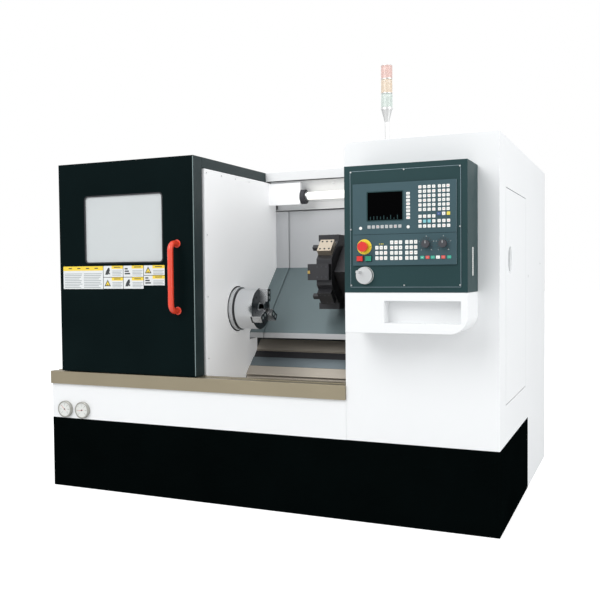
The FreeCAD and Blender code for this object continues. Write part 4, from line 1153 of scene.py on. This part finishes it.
KEY_BLOCKS = (
    KeyGroup(1863.5, 1268.5, 8, 1, 18.2, 0.0, 13.0, 13.0, KEY_GREY),
    KeyGroup(1961.0, 1348.0, 1, 8, 0.0, 13.6, 15.0, 10.4, KEY_WHITE),
    KeyGroup(2036.0, 1374.0, 4, 6, 18.2, 17.6, 12.6, 12.2),
    KeyGroup(2102.5, 1374.0, 3, 6, 16.8, 17.6, 12.0, 12.2),
    KeyGroup(2036.0, 1284.5, 4, 3, 18.2, 19.0, 12.6, 12.6),
    KeyGroup(2102.5, 1275.0, 3, 2, 18.4, 19.0, 12.6, 12.6),
    KeyGroup(2102.0, 1312.0, 1, 1, 0.0, 0.0, 13.0, 13.0),
    KeyGroup(2083.0, 1312.0, 1, 1, 0.0, 0.0, 15.0, 13.0, KEY_BLUE),
    KeyGroup(2120.5, 1312.0, 1, 1, 0.0, 0.0, 13.0, 13.0, KEY_YELLOW),
    KeyGroup(1850.0, 1164.5, 3, 3, 18.0, 20.8, 13.2, 14.6),
    KeyGroup(1911.5, 1174.0, 3, 4, 18.0, 20.8, 13.2, 14.6),
    KeyGroup(1973.0, 1174.0, 3, 4, 18.0, 20.8, 13.2, 14.6),
    *(KeyGroup(along, 1144.0, 1, 1, 0.0, 0.0, 15.0, 12.0, finish) for along, finish in (
        (2017.0, KEY_GREEN), (2038.0, KEY_RED), (2058.5, KEY_GREEN), (2079.0, KEY_WHITE), (2100.0, KEY_RED),
        (2123.0, KEY_GREEN))),
)


@dataclass
class ControlDesk:
    """The console, the control housing and everything an operator touches."""

    key_thick: float = 2.2
    legend_thick: float = 0.12
    legend_shapes: tuple[tuple[Flat, ...], ...] = (
        tuple(oblong(-3.2, -0.7, 3.2, 0.7)), tuple(oblong(-3.2, -0.7, 3.2, 0.7)),
        tuple(oblong(-0.8, -2.6, 0.8, 2.6)), ((-2.4, -2.0), (2.4, -2.0), (0.0, 2.6)))
    face: float = -209.0
    screw_inset: float = 3.5
    rim: float = 1.6
    unit_highlight_from: float = 2100.0
    screen_at: Flat = (1865.5, 1350.0)
    screen_size: Flat = (145.0, 112.0)
    cyan_key: float = 12.6
    round_keys: Flat = (1764.0, 1961.0)
    pilot_lights: Point = (1843.0, 1850.0, 1857.0)
    scale_arc: Flat = (-0.87, 4.88)
    override_most: int = 120
    grips: int = 22
    wheel_marks: int = 50
    mushroom: float = 30.5
    vent_at: Flat = (-104.0, 1127.0)

    def build(self) -> None:
        """Make the desk from its housing outwards."""
        for node, finish, bevel in (("console", WHITE_PAINT, 2.2), ("control_housing", DESK_PAINT, 2.0),
                                    ("control_plate", self.plate_paint, 0.8),
                                    ("display_unit", self.unit_paint, 1.6),
                                    ("operator_unit", self.unit_paint, 1.6)):
            softened(node, finish, bevel)
        self.plate_screws()
        self.screen()
        self.keys()
        self.override_dials()
        self.buttons()
        self.hand_wheel()
        self.side_vent()

    def unit_paint(self, middle: Point, normal: Vector) -> Finish:
        """Painted highlight on the units' right bevels, printed film elsewhere."""
        return PANEL_HIGHLIGHT if normal.x > 0.5 and middle[0] > self.unit_highlight_from else PANEL_FILM

    @staticmethod
    def plate_paint(_: Point, normal: Vector) -> Finish:
        """Painted highlight on the edges round the control plate."""
        return DESK_PAINT if normal.y < -0.5 else PANEL_HIGHLIGHT

    def on_face(self, along: float, up: float, proud: float = 0.0) -> Matrix:
        """Placement on the front of the display and operator units."""
        return Facing.FRONT.at(along, self.face - proud, up)

    def plate_screws(self) -> None:
        """Eight screws round the control plate and a rim of painted highlight round the plate."""
        low, high = node_span("control_plate")
        along, _, up = middle_of("control_plate")
        inset, rim = self.screw_inset, self.rim
        points = [(x, y) for x in (low[0] + inset, along, high[0] - inset)
                  for y in (low[2] + inset + 5, up, high[2] - inset) if (x, y) != (along, up)]
        form = Form().screws(ZINC_SCREW, Facing.FRONT.at(0.0, low[1], 0.0), points, 3.4, 2.6, 1.5)
        outer, inner = (rounded_rectangle(high[0] - low[0] - less, high[2] - low[2] - less, radius)
                        for less, radius in ((0.4, 2), (2 * rim, 1)))
        # Painted highlight: the rim round the plate.
        form.slab(outer, -0.4, 0.5, PANEL_HIGHLIGHT, Facing.FRONT.at(along, low[1], up), 0.0, [inner])
        form.piece("plate_screws_and_rim", slot="ground_steel")

    def screen(self) -> None:
        """The screen in its recess: bezel, glass and a few lit bars."""
        middle = self.on_face(*self.screen_at)
        width, height = self.screen_size
        form = Form().slab(rounded_rectangle(width + 7, height + 7, 4), -1.0, 1.0, DESK_PAINT, middle, 0.5,
                           [rounded_rectangle(width - 1, height - 1, 2)])
        form.mark(rounded_rectangle(width + 1, height + 1, 2), SCREEN_GLASS, middle, -6.0, -1.2)
        for column in range(9):
            tall = 5.0 + 11.0 * abs(math.sin(1.7 * column + 0.6))
            start = -62.0 + 14.0 * column
            form.mark(oblong(start, -52, start + 3, -52 + tall), DESK_PAINT, middle, -1.25, -1.05)
        form.piece("control_screen", slot="panel_teal")

    def keys(self) -> None:
        """Soft keys, letter and figure keys and the machine keys, block by block."""
        form = Form()
        for group in KEY_BLOCKS:
            form.pattern(PATTERNS.keys, group.finish, self.on_face(group.along, group.up, -0.1),
                         Columns=group.columns, Rows=group.rows, Pitch_across=group.pitch_across,
                         Pitch_up=group.pitch_up, Width=group.width, Tall=group.tall, Thick=self.key_thick)
            self.legends(form, group)
        for across in (-9.1, 9.1):
            form.pattern(PATTERNS.keys, KEY_CYAN, self.on_face(2036.0 + across, 1284.5, -0.1), Columns=1,
                         Rows=1, Width=self.cyan_key, Tall=self.cyan_key, Thick=self.key_thick + 0.3)
        for along in self.round_keys:
            form.turned([(0, 2.4), (5.5, 2.4), (6.4, 1.4), (6.4, -0.5), (0, -0.5)], KEY_WHITE,
                        self.on_face(along, 1264.5))
        for along in self.pilot_lights:
            form.turned([(0, 0.7), (1.6, 0.7), (2.0, 0.1), (2.0, -0.4), (0, -0.4)], KEY_YELLOW,
                        self.on_face(along, 1200.0), 14)
        form.piece("desk_keys", slot="key_white", replaces=["panel_keys"])

    def legends(self, form: Form, group: KeyGroup) -> None:
        """A small generic mark on every key of a block.

        Args:
            form: the form they are added to.
            group: the block.
        """
        ink = PALE_INK if group.finish in (KEY_BLUE, KEY_RED, KEY_GREEN) else KEY_RED
        for column in range(group.columns):
            for rise in range(group.rows):
                along = group.along + group.pitch_across * (column - (group.columns - 1) / 2)
                up = group.up + group.pitch_up * (rise - (group.rows - 1) / 2)
                kind = (3 * column + 5 * rise + int(group.along)) % 4
                place = self.on_face(along, up, self.key_thick - self.legend_thick)
                form.mark(self.legend_shapes[kind], ink if kind == 1 else LABEL_GREY, place)

    def override_dials(self) -> None:
        """The two override knobs with scale marks, numbers, grips and pointers."""
        form = Form()
        most = self.override_most
        start, sweep = self.scale_arc
        for node in ("feed_knob", "speed_knob"):
            dress(KNOB_BLACK, node)
            low, high = node_span(node)
            along, _, up = middle_of(node)
            plate = self.on_face(along, up)
            form.mark(circle(31.0, 48), PANEL_FILM, plate, -0.3, 0.35)
            form.ticks(INK, raised(plate, 0.35), 13, 23.5, (8.0, 2.6, 0.4), self.scale_arc)
            for number in range(5):
                at = Matrix.Translation((*polar(30.0, start + sweep * number / 4), 0.3))
                form.numeral(str(most - most * number // 4), 4.6, PALE_INK, plate @ at)
            radius = (high[0] - low[0]) / 2
            stand = self.face - low[1]
            front = Facing.FRONT.at(along, low[1], up)
            pointer = Form().mark(oblong(-0.8, 2.0, 0.8, radius - 2.5), PALE_INK, front, -0.2, 0.25)
            grip = (1.1, 1.6, 0.6 * stand)
            pointer.ticks(KNOB_BLACK, raised(plate, stand * 0.45), self.grips, radius, grip)
            pointer.piece(f"{node}_pointer", BODY_OF[node], "knob_black")
        form.piece("override_scales", slot="panel_teal")

    def buttons(self) -> None:
        """The emergency stop's yellow field, the button bezels and the pressed parts' finishes."""
        dress(STOP_RED, "e_stop_button", "stop_button")
        dress(START_GREEN, "start_button")
        along, _, up = middle_of("e_stop_button")
        plate = self.on_face(along, up)
        form = Form().slab(circle(self.mushroom, 56), -0.4, 1.2, STOP_YELLOW, plate, 0.5)
        form.turned([(11.0, 0.5), (17.0, 0.5), (17.0, 3.4), (15.6, 4.4), (11.0, 4.4)], KNOB_BLACK, plate)
        for turn in (0.0, math.tau / 3, 2 * math.tau / 3):
            form.mark([(23.5, -4.0), (28.0, 0.0), (23.5, 4.0), (25.0, 0.0)], INK,
                      plate @ Matrix.Rotation(turn, 4, "Z"), 1.1, 1.35)
        for node in ("stop_button", "start_button"):
            low, high = node_span(node)
            along, _, up = middle_of(node)
            outer, inner = (rounded_rectangle(high[0] - low[0] + grow, high[2] - low[2] + grow, radius)
                            for grow, radius in ((5.0, 3), (1.2, 1)))
            form.slab(outer, -0.3, 1.6, DESK_PAINT, self.on_face(along, up), 0.4, [inner])
        form.piece("button_bezels", slot="panel_teal")

    def hand_wheel(self) -> None:
        """The hand pulse wheel's graduated ring."""
        dress(SATIN_METAL, "handwheel")
        low, high = node_span("handwheel")
        along, _, up = middle_of("handwheel")
        radius = (high[0] - low[0]) / 2
        base = Facing.FRONT.at(along, node_span("control_plate")[0][1], up)
        form = Form().slab(circle(radius + 1.2, 56), -0.4, 1.0, DIAL_FACE, base, 0.4)
        form.ticks(INK, raised(base, 1.0), self.wheel_marks, radius - 0.9, (2.6, 0.5, 0.3))
        form.piece("pulse_wheel_scale", slot="aluminium")

    def side_vent(self) -> None:
        """The pale slotted vent on the housing's right side."""
        side = Facing.RIGHT.at(node_span("control_housing")[1][0], *self.vent_at)
        form = Form().slab(rounded_rectangle(17, 112, 3), -0.5, 1.2, KEY_WHITE, side, 0.5)
        form.louvres(LABEL_GREY, side @ Matrix.Translation((0, 47.0, 0.9)), 12, 8.6, 12.0, 2.0)
        form.piece("housing_vent", slot="desk_green")


# ------------------------------------------------------------------ warning light
@dataclass
class Beacon:
    """The light column on the roof: pole, caps and three ribbed lenses."""

    wall: float = 2.0
    ribs: int = 26

    def build(self) -> None:
        """Make the pole and the three lenses."""
        dress(POLE_METAL, "beacon_pole")
        low, high = node_span("beacon_lenses")
        centre = middle_of("beacon_lenses")[:2]
        radius = (high[0] - low[0]) / 2
        inner = radius - self.wall
        height = (high[2] - low[2]) / len(LENSES)
        inside = Form()
        for level, finish in enumerate(LENSES):
            place = Facing.TOP.at(*centre, low[2] + height * level)
            profile = [(inner, 4.0), (radius, 4.0), (radius, height - 4.0), (radius - 1.0, height - 2.0),
                       (inner, height - 2.0)]
            lens = Form().turned(profile, finish, place, 64)
            lens.ticks(finish, raised(place, height / 2), self.ribs, inner - 0.2, (1.0, 1.4, height - 10.0))
            lens.piece(f"beacon_lens_{level + 1}", slot="lens_clear", replaces=["beacon_lenses"])
            inside.turned([(0, 0), (radius - 0.4, 0), (radius - 0.2, 0.6), (radius - 0.2, 3.6), (0, 3.8)],
                          POLE_METAL, place)
            inside.turned([(0, 3.8), (8, 3.8), (8, 18), (6.5, 20), (6.5, height - 16), (0, height - 11)],
                          DIAL_FACE, place, 24)
        cap = Facing.TOP.at(*centre, high[2] - 2.2)
        profile = [(0, -1.0), (radius, -1.0), (radius - 0.3, 0.8), (radius - 3, 2.2), (0, 2.2)]
        inside.turned(profile, POLE_METAL, cap)
        inside.piece("beacon_inner_parts", slot="lens_clear")


# ------------------------------------------------------------------ machining chamber
@dataclass
class Chamber:
    """Way covers, chute and work lamp inside the enclosure."""

    slope_top: float = 1117.0
    slope_foot: float = 760.0
    # The strips' colours are painted reflection and shade on the chute.
    strips: tuple[tuple[float, float, float, Finish], ...] = (
        (680.0, 628.0, 8.0, CHUTE_BEIGE), (624.0, 592.0, 3.0, BLACK_OXIDE), (590.0, 548.0, 10.0, CHUTE_PAINTED_REFLECTION),
        (545.0, 503.0, 14.0, CHUTE_BEIGE))
    strip_thick: float = 2.0
    chute_rise: float = 40.0
    bracket_long: float = 191.5
    lamp_at: Flat = (830.0, 1510.0)
    bracket_screws: tuple[float, ...] = (0.8, 2.4, 3.9, 5.5)

    def build(self) -> None:
        """Make the sheets and the lamp."""
        for node, finish, bevel in (("way_cover_fixed", self.cover_paint, 0.9),
                                    ("way_cover_moving", self.cover_paint, 0.9),
                                    ("chip_chute", CHUTE_BEIGE, 0.9), ("work_lamp", self.lamp_paint, 1.0)):
            softened(node, finish, bevel)
        self.lamp_details()
        self.chute_apron()

    def chute_apron(self) -> None:
        """Folded strips on the chute whose colours are painted reflection and shade: two warm bands, a black
        band and a blue-grey band.
        """
        left = node_span("headstock_side_wall")[1][0] + 2.0
        right = node_span("right_front_cabinet")[0][0] + 250.0
        wide = (right - left) / 2
        form = Form()
        for back, front, proud, finish in self.strips:
            lift = proud * math.sqrt(0.5)
            middle = (back + front) / 2
            place = Matrix.Translation(((left + right) / 2, middle - lift, middle + self.chute_rise + lift))
            half = (back - front) * math.sqrt(2.0) / 2
            form.box((-wide, -half, -self.strip_thick), (wide, half, 0.0), finish, 0.8,
                     place @ Matrix.Rotation(math.pi / 4, 4, "X"))
        form.piece("chute_apron", slot="cover_grey")

    def cover_paint(self, middle: Point, normal: Vector) -> Finish:
        """Dark slope, light enamel on the upright sheets above and below it."""
        upright = middle[2] > self.slope_top or normal.y < -0.9 and middle[2] < self.slope_foot
        return CHAMBER_GREY if upright else COVER_GREY

    def lamp_paint(self, middle: Point, _: Vector) -> Finish:
        """White bracket with a painted glow, black end caps and the lit tube between them."""
        low, high = node_span("work_lamp")
        if middle[0] < low[0] + self.bracket_long:
            # The bracket takes the chamber white with its painted glow.
            return INNER_WHITE_PAINTED_GLOW
        between = low[0] + self.bracket_long + 26.0 < middle[0] < high[0] - 26.5
        return LAMP_GLOW if between else KNOB_BLACK

    def lamp_details(self) -> None:
        """Polished rings at the tube's ends and the bracket's screws."""
        low, high = node_span("work_lamp")
        back, up = self.lamp_at
        form = Form()
        for along in (low[0] + 218.0, high[0] - 38.0):
            form.turned([(21.4, 0), (25, 0), (25, 12), (21.4, 12)], SATIN_METAL,
                        Facing.RIGHT.at(along, back, up + 4.0))
        points = [polar(25, turn) for turn in self.bracket_screws]
        cap = Facing.RIGHT.at(low[0] + 191.0, back, up)
        form.screws(ZINC_SCREW, raised(cap, 25.5), points, 3.5, 2.0, 1.2)
        form.piece("lamp_fittings", slot="aluminium")


# ------------------------------------------------------------------ headstock and chuck
@dataclass
class Spindle:
    """Headstock, belt drive, spindle, three-jaw power chuck."""

    jaws: int = 3
    slot_deep: float = 14.0
    slot_reach: float = 99.0
    bolt_circle: float = 0.74
    bolt_spread: float = 0.34
    bore: float = 33.0
    seam: float = 0.5
    jaw_bolts: Flat = (58.0, 84.0)

    def build(self) -> None:
        """Make the turning parts and dress the drive behind the cover."""
        softened("headstock_casting", CAST_IRON, 2.5)
        dress(MOTOR_GREY, "spindle_motor", "z_motor")
        dress(RUBBER, "drive_belt")
        dress(CAST_IRON, "spindle_pulley", "motor_pulley")
        dress(GROUND_STEEL, "spindle")
        softened("chuck_body", self.chuck_paint, 1.2)
        for number in range(1, self.jaws + 1):
            softened(f"chuck_jaw_{number}", self.jaw_paint, 0.8)
            self.jaw_screws(number)
        self.chuck_face()

    def chuck_paint(self, middle: Point, normal: Vector) -> Finish:
        """Polished barrel, blued face and slots."""
        front = node_span("chuck_body")[1][0]
        _, back, up = middle_of("chuck_body")
        inside = math.hypot(middle[1] - back, middle[2] - up) < self.slot_reach
        slot = inside and middle[0] > front - self.slot_deep and abs(normal.x) < 0.1
        return BLUED_STEEL if normal.x > 0.5 or slot else CHUCK_STEEL

    @staticmethod
    def jaw_paint(_: Point, normal: Vector) -> Finish:
        """Ground flanks and a blued front."""
        return BLUED_STEEL if normal.x > 0.5 else JAW_STEEL

    def chuck_face(self) -> None:
        """Mounting bolts, centre bore and rear seam of the chuck."""
        low, high = node_span("chuck_body")
        _, back, up = middle_of("chuck_body")
        radius = (high[2] - low[2]) / 2
        face = Facing.RIGHT.at(high[0], back, up)
        points = [polar(self.bolt_circle * radius, math.pi / 2 + math.pi / 3 + third * math.tau / 3 + spread)
                  for third in range(self.jaws) for spread in (-self.bolt_spread, self.bolt_spread)]
        form = Form().screws(BLACK_OXIDE, face, points, 7.5, 2.2, 1.8)
        bore = self.bore
        form.turned([(bore, -0.5), (bore + 5, -0.5), (bore + 5, 1.6), (bore, 1.6)], GROUND_STEEL, face)
        rim = radius + self.seam
        form.turned([(radius - 2, -3.9), (rim, -3.9), (rim, 6), (radius - 2, 6)], BLACK_OXIDE,
                    Facing.RIGHT.at(low[0] + 4.0, back, up), 72)
        form.piece("chuck_bolts", "spindle_line", "chuck_steel")

    def jaw_screws(self, number: int) -> None:
        """Two clamp screws in the front of a top jaw, counted from 1."""
        node = f"chuck_jaw_{number}"
        _, back, up = middle_of("chuck_body")
        _, jaw_back, jaw_up = middle_of(node)
        out = Vector((jaw_back - back, jaw_up - up)).normalized()
        points = [(out.x * reach, out.y * reach) for reach in self.jaw_bolts]
        face = Facing.RIGHT.at(node_span(node)[1][0], back, up)
        form = Form().screws(ZINC_SCREW, raised(face, -0.15), points, 8.0, 1.6, 1.4)
        form.piece(f"{node}_screws", f"jaw_{number}", "chuck_steel")


# ------------------------------------------------------------------ carriage and turret
@dataclass
class Turret:
    """Saddle, cross slide and the eight-station tool turret."""

    stations: int = 8
    bright_sector: Flat = (120.0, 150.0)
    blued_station: int = 1
    disc_bolts: tuple[Flat, ...] = ((74.0, 0.0), (112.0, -0.13), (112.0, 0.13))
    figure_reach: float = 52.0

    def build(self) -> None:
        """Make the carriage group and the turret's fastenings."""
        for node, finish, bevel in (("saddle", CAST_IRON, 2.0), ("cross_slide", CAST_IRON, 2.0),
                                    ("bed_casting", CAST_IRON, 3.0)):
            softened(node, finish, bevel)
        dress(GROUND_STEEL, "z_guide_rails", "z_screw", "x_screw")
        dress(MOTOR_GREY, "x_motor")
        for node, finish, bevel in (("turret_housing", BLACK_OXIDE, 2.0), ("turret_disc", BLACK_OXIDE, 1.4),
                                    ("tool_holders", self.holder_paint, 0.8)):
            softened(node, finish, bevel)
        self.disc_face()
        self.holder_fittings()

    def holder_paint(self, middle: Point, _: Vector) -> Finish:
        """Bright steel on the boring holder that faces the door at rest, black on the others."""
        along = node_span("turret_disc")[0][0]
        _, back, up = middle_of("turret_disc")
        turn = math.degrees(math.atan2(middle[2] - up, middle[1] - back))
        bright = self.bright_sector[0] < turn < self.bright_sector[1] and middle[0] > along + 3.5
        return HOLDER_CREAM if bright else BLACK_OXIDE

    def holder_fittings(self) -> None:
        """Clamp screws on every holder and an insert at the end of every turning tool."""
        along = node_span("turret_disc")[0][0]
        _, back, up = middle_of("turret_disc")
        centre = Vector((0.0, back, up))
        reach = (node_span("tool_holders")[1][2] - centre.z)
        points = [(along + right, across) for right in (18.0, 42.0, 66.0) for across in (-26.0, 26.0)]
        tip = [(along - 33.8, -8.0), (along - 20.0, -8.0), (along - 22.0, 8.0), (along - 33.8, 6.0)]
        form = Form()
        for station in range(self.stations):
            turn = Matrix.Rotation(math.tau * station / self.stations, 4, "X")
            outward = Matrix.Translation(centre) @ turn @ Matrix.Translation((0.0, 0.0, reach - 0.3))
            finish = BLUED_STEEL if station == self.blued_station else KNOB_BLACK
            form.screws(finish, outward, points, 5.0, 1.6, 1.2)
            if station % 2 == 0:
                form.slab(tip, 0.0, 2.2, CARBIDE, outward, 0.5)
        form.piece("holder_screws_and_inserts", "turret", "black_oxide")

    def disc_face(self) -> None:
        """Clamp bolts, index numbers and the hub cap on the turret's face."""
        _, back, up = middle_of("turret_disc")
        face = Facing.LEFT.at(node_span("turret_disc")[0][0], back, up)
        turns = [math.tau * (station + 0.5) / self.stations for station in range(self.stations)]
        points = [polar(reach, turn + lean) for turn in turns for reach, lean in self.disc_bolts]
        form = Form().screws(ZINC_SCREW, face, points, 5.5, 3.0, 2.2)
        form.turned([(0, 9), (34, 9), (38, 6), (38, -1), (0, -1)], GROUND_STEEL, face)
        for station, turn in enumerate(turns, 1):
            at = Matrix.Translation((*polar(self.figure_reach, turn), 0.1))
            form.numeral(str(station), 12.0, PALE_INK, face @ at)
        form.piece("turret_face_bolts", "turret", "black_oxide")


# ------------------------------------------------------------------ service sides
@dataclass
class ServiceSides:
    """Doors, locks, vents and the main switch on the right side and the back."""

    lock_radius: float = 13.0
    locks: tuple[Flat, ...] = ((1328.0, 1127.0), (845.0, 1061.0))
    louvres: tuple[Flat, ...] = ((330.0, 1180.0), (760.0, 1180.0))
    switch_plate: float = 84.0
    gland_start: float = 1300.0
    gland_pitch: float = 70.0
    gland_up: float = 390.0
    glands: int = 4

    def build(self) -> None:
        """Make the doors and what is screwed to the sides."""
        softened("side_door", WHITE_PAINT, 1.6)
        dress(SATIN_METAL, "side_door_latch")
        softened("rear_door", WHITE_PAINT, 1.6)
        dress(STOP_RED, "main_switch")
        self.side_fittings()
        self.rear_fittings()

    def side_fittings(self) -> None:
        """Round quarter-turn locks with their slots on the right side panel."""
        side = node_span("right_side_panel")[1][0] - 3.0
        radius = self.lock_radius
        form = Form()
        for back, up in self.locks:
            place = Facing.RIGHT.at(side, back, up)
            profile = [(0, 3.0), (radius - 3, 3.0), (radius - 1, 2.2), (radius, 0.0), (radius, -0.5),
                       (0, -0.5)]
            form.turned(profile, SATIN_METAL, place)
            form.mark(oblong(-7, -1.2, 7, 1.2), INK, place, 2.8, 3.2)
        form.piece("side_locks")

    def rear_fittings(self) -> None:
        """Louvres, cable glands and the switch's yellow plate on the back."""
        rear = node_span("rear_panel")[1][1]
        form = Form()
        for along, up in self.louvres:
            place = Facing.BACK.at(along, rear, up)
            form.slab(rounded_rectangle(320, 330, 10), -0.5, 2.0, WHITE_PAINT, place, 0.8)
            form.louvres(WHITE_PAINT, place @ Matrix.Translation((0, 132, 1.9)), 10, 28.0, 270.0, 9.0)
        form.piece("rear_louvres")
        along, _, up = middle_of("main_switch")
        place = Facing.BACK.at(along, node_span("rear_door")[1][1], up)
        plate = rounded_rectangle(self.switch_plate, self.switch_plate, 8)
        form = Form().slab(plate, -0.5, 1.6, STOP_YELLOW, place, 0.6)
        form.piece("switch_plate", BODY_OF["rear_door"], "red_plastic")
        profile = [(0, 18), (9, 18), (13, 14), (13, 6), (17, 6), (17, 0), (19, 0), (19, -0.5), (0, -0.5)]
        glands = Form()
        for number in range(self.glands):
            place = Facing.BACK.at(self.gland_start + self.gland_pitch * number, rear, self.gland_up)
            glands.turned(profile, RUBBER, place, 24)
        glands.piece("cable_glands", slot="black_paint")


# ------------------------------------------------------------------ studio
@dataclass
class Studio:
    """Pale floor, soft light and the camera."""

    stand: Point = (1.672, -3.9036, 1.0891)
    yaw: float = 23.51
    pitch: float = -1.98
    roll: float = -0.55
    lens: float = 47.52
    sensor: float = 36.0
    reach: float = 120.0
    floor_half: float = 40.0
    surround: float = 0.80
    surround_tint: Colour = (0.97, 0.985, 1.0)

    def build(self) -> None:
        """Set the stage, the lights and the camera."""
        bpy.context.scene.view_settings.view_transform = "Standard"
        self.floor()
        self.world()
        for name, place, target, size, power in (
                ("key_light", (-1.6, -5.2, 4.6), (0.0, 0.0, 0.9), 4.0, 176.0),
                ("fill_light", (5.6, -1.8, 2.6), (0.2, 0.0, 0.9), 3.6, 98.0),
                ("top_light", (0.0, 0.4, 5.5), (0.0, 0.0, 0.8), 4.5, 55.0),
                ("rear_light", (-1.0, 5.5, 3.5), (0.0, 0.0, 1.0), 4.0, 40.0)):
            self.soft_light(name, place, target, size, power)
        self.camera()

    def floor(self) -> None:
        """A plain pale floor that brightens itself for the camera alone."""
        half = self.floor_half
        mesh = bpy.data.meshes.new("studio_floor")
        corners = [(x, y, 0) for x, y in oblong(-half, -half, half, half)]
        mesh.from_pydata(corners, [], [(0, 1, 2, 3)])
        paint = FLOOR_PALE.material()
        nodes, links = paint.node_tree.nodes, paint.node_tree.links
        lift = nodes.new("ShaderNodeMath")
        lift.operation = "MULTIPLY"
        lift.inputs[1].default_value = FLOOR_PALE.glow
        links.new(nodes.new("ShaderNodeLightPath").outputs["Is Camera Ray"], lift.inputs[0])
        links.new(lift.outputs[0], nodes["Principled BSDF"].inputs["Emission Strength"])
        mesh.materials.append(paint)
        made = bpy.data.objects.new("studio_floor", mesh)
        bpy.context.scene.collection.objects.link(made)

    def world(self) -> None:
        """An even pale surround that the camera sees as plain white."""
        world = bpy.data.worlds.new("studio_world")
        world.use_nodes = True
        nodes, links = world.node_tree.nodes, world.node_tree.links
        light = nodes["Background"]
        light.inputs["Color"].default_value = (*self.surround_tint, 1.0)
        light.inputs["Strength"].default_value = self.surround
        seen = nodes.new("ShaderNodeBackground")
        seen.inputs["Color"].default_value = (1.0, 1.0, 1.0, 1.0)
        choose = nodes.new("ShaderNodeMixShader")
        links.new(nodes.new("ShaderNodeLightPath").outputs["Is Camera Ray"], choose.inputs[0])
        links.new(light.outputs[0], choose.inputs[1])
        links.new(seen.outputs[0], choose.inputs[2])
        links.new(choose.outputs[0], nodes["World Output"].inputs["Surface"])
        bpy.context.scene.world = world

    @staticmethod
    def soft_light(name: str, place: Point, target: Point, size: float, power: float) -> None:
        """A square soft box aimed at a point.

        Args:
            name: its name.
            place: where it hangs, in metres.
            target: what it points at.
            size: its edge length.
            power: its power in watts.
        """
        data = bpy.data.lights.new(name, "AREA")
        data.energy = power
        data.size = size
        light = bpy.data.objects.new(name, data)
        light.location = place
        light.rotation_euler = (Vector(target) - Vector(place)).to_track_quat("-Z", "Y").to_euler()
        bpy.context.scene.collection.objects.link(light)

    def camera(self) -> None:
        """The camera, a little over the desk's right corner."""
        data = bpy.data.cameras.new("view_camera")
        data.lens = self.lens
        data.sensor_width = self.sensor
        data.clip_end = self.reach
        made = bpy.data.objects.new("view_camera", data)
        turn = Euler((math.radians(90.0 + self.pitch), 0.0, math.radians(self.yaw)), "XYZ").to_matrix()
        lean = Matrix.Rotation(math.radians(self.roll), 3, "Z")
        made.matrix_world = Matrix.Translation(self.stand) @ (turn @ lean).to_4x4()
        bpy.context.scene.collection.objects.link(made)
        bpy.context.scene.camera = made


def main() -> None:
    """Build every sub-assembly in order."""
    logging.basicConfig(level=logging.INFO, format="%(name)s %(message)s")
    for assembly in (Studio(), Enclosure(), SlidingDoor(), ControlDesk(), Beacon(), Chamber(), Spindle(),
                     Turret(), ServiceSides()):
        LOG.info("building %s", type(assembly).__name__)
        assembly.build()


if __name__ == "__main__":
    main()
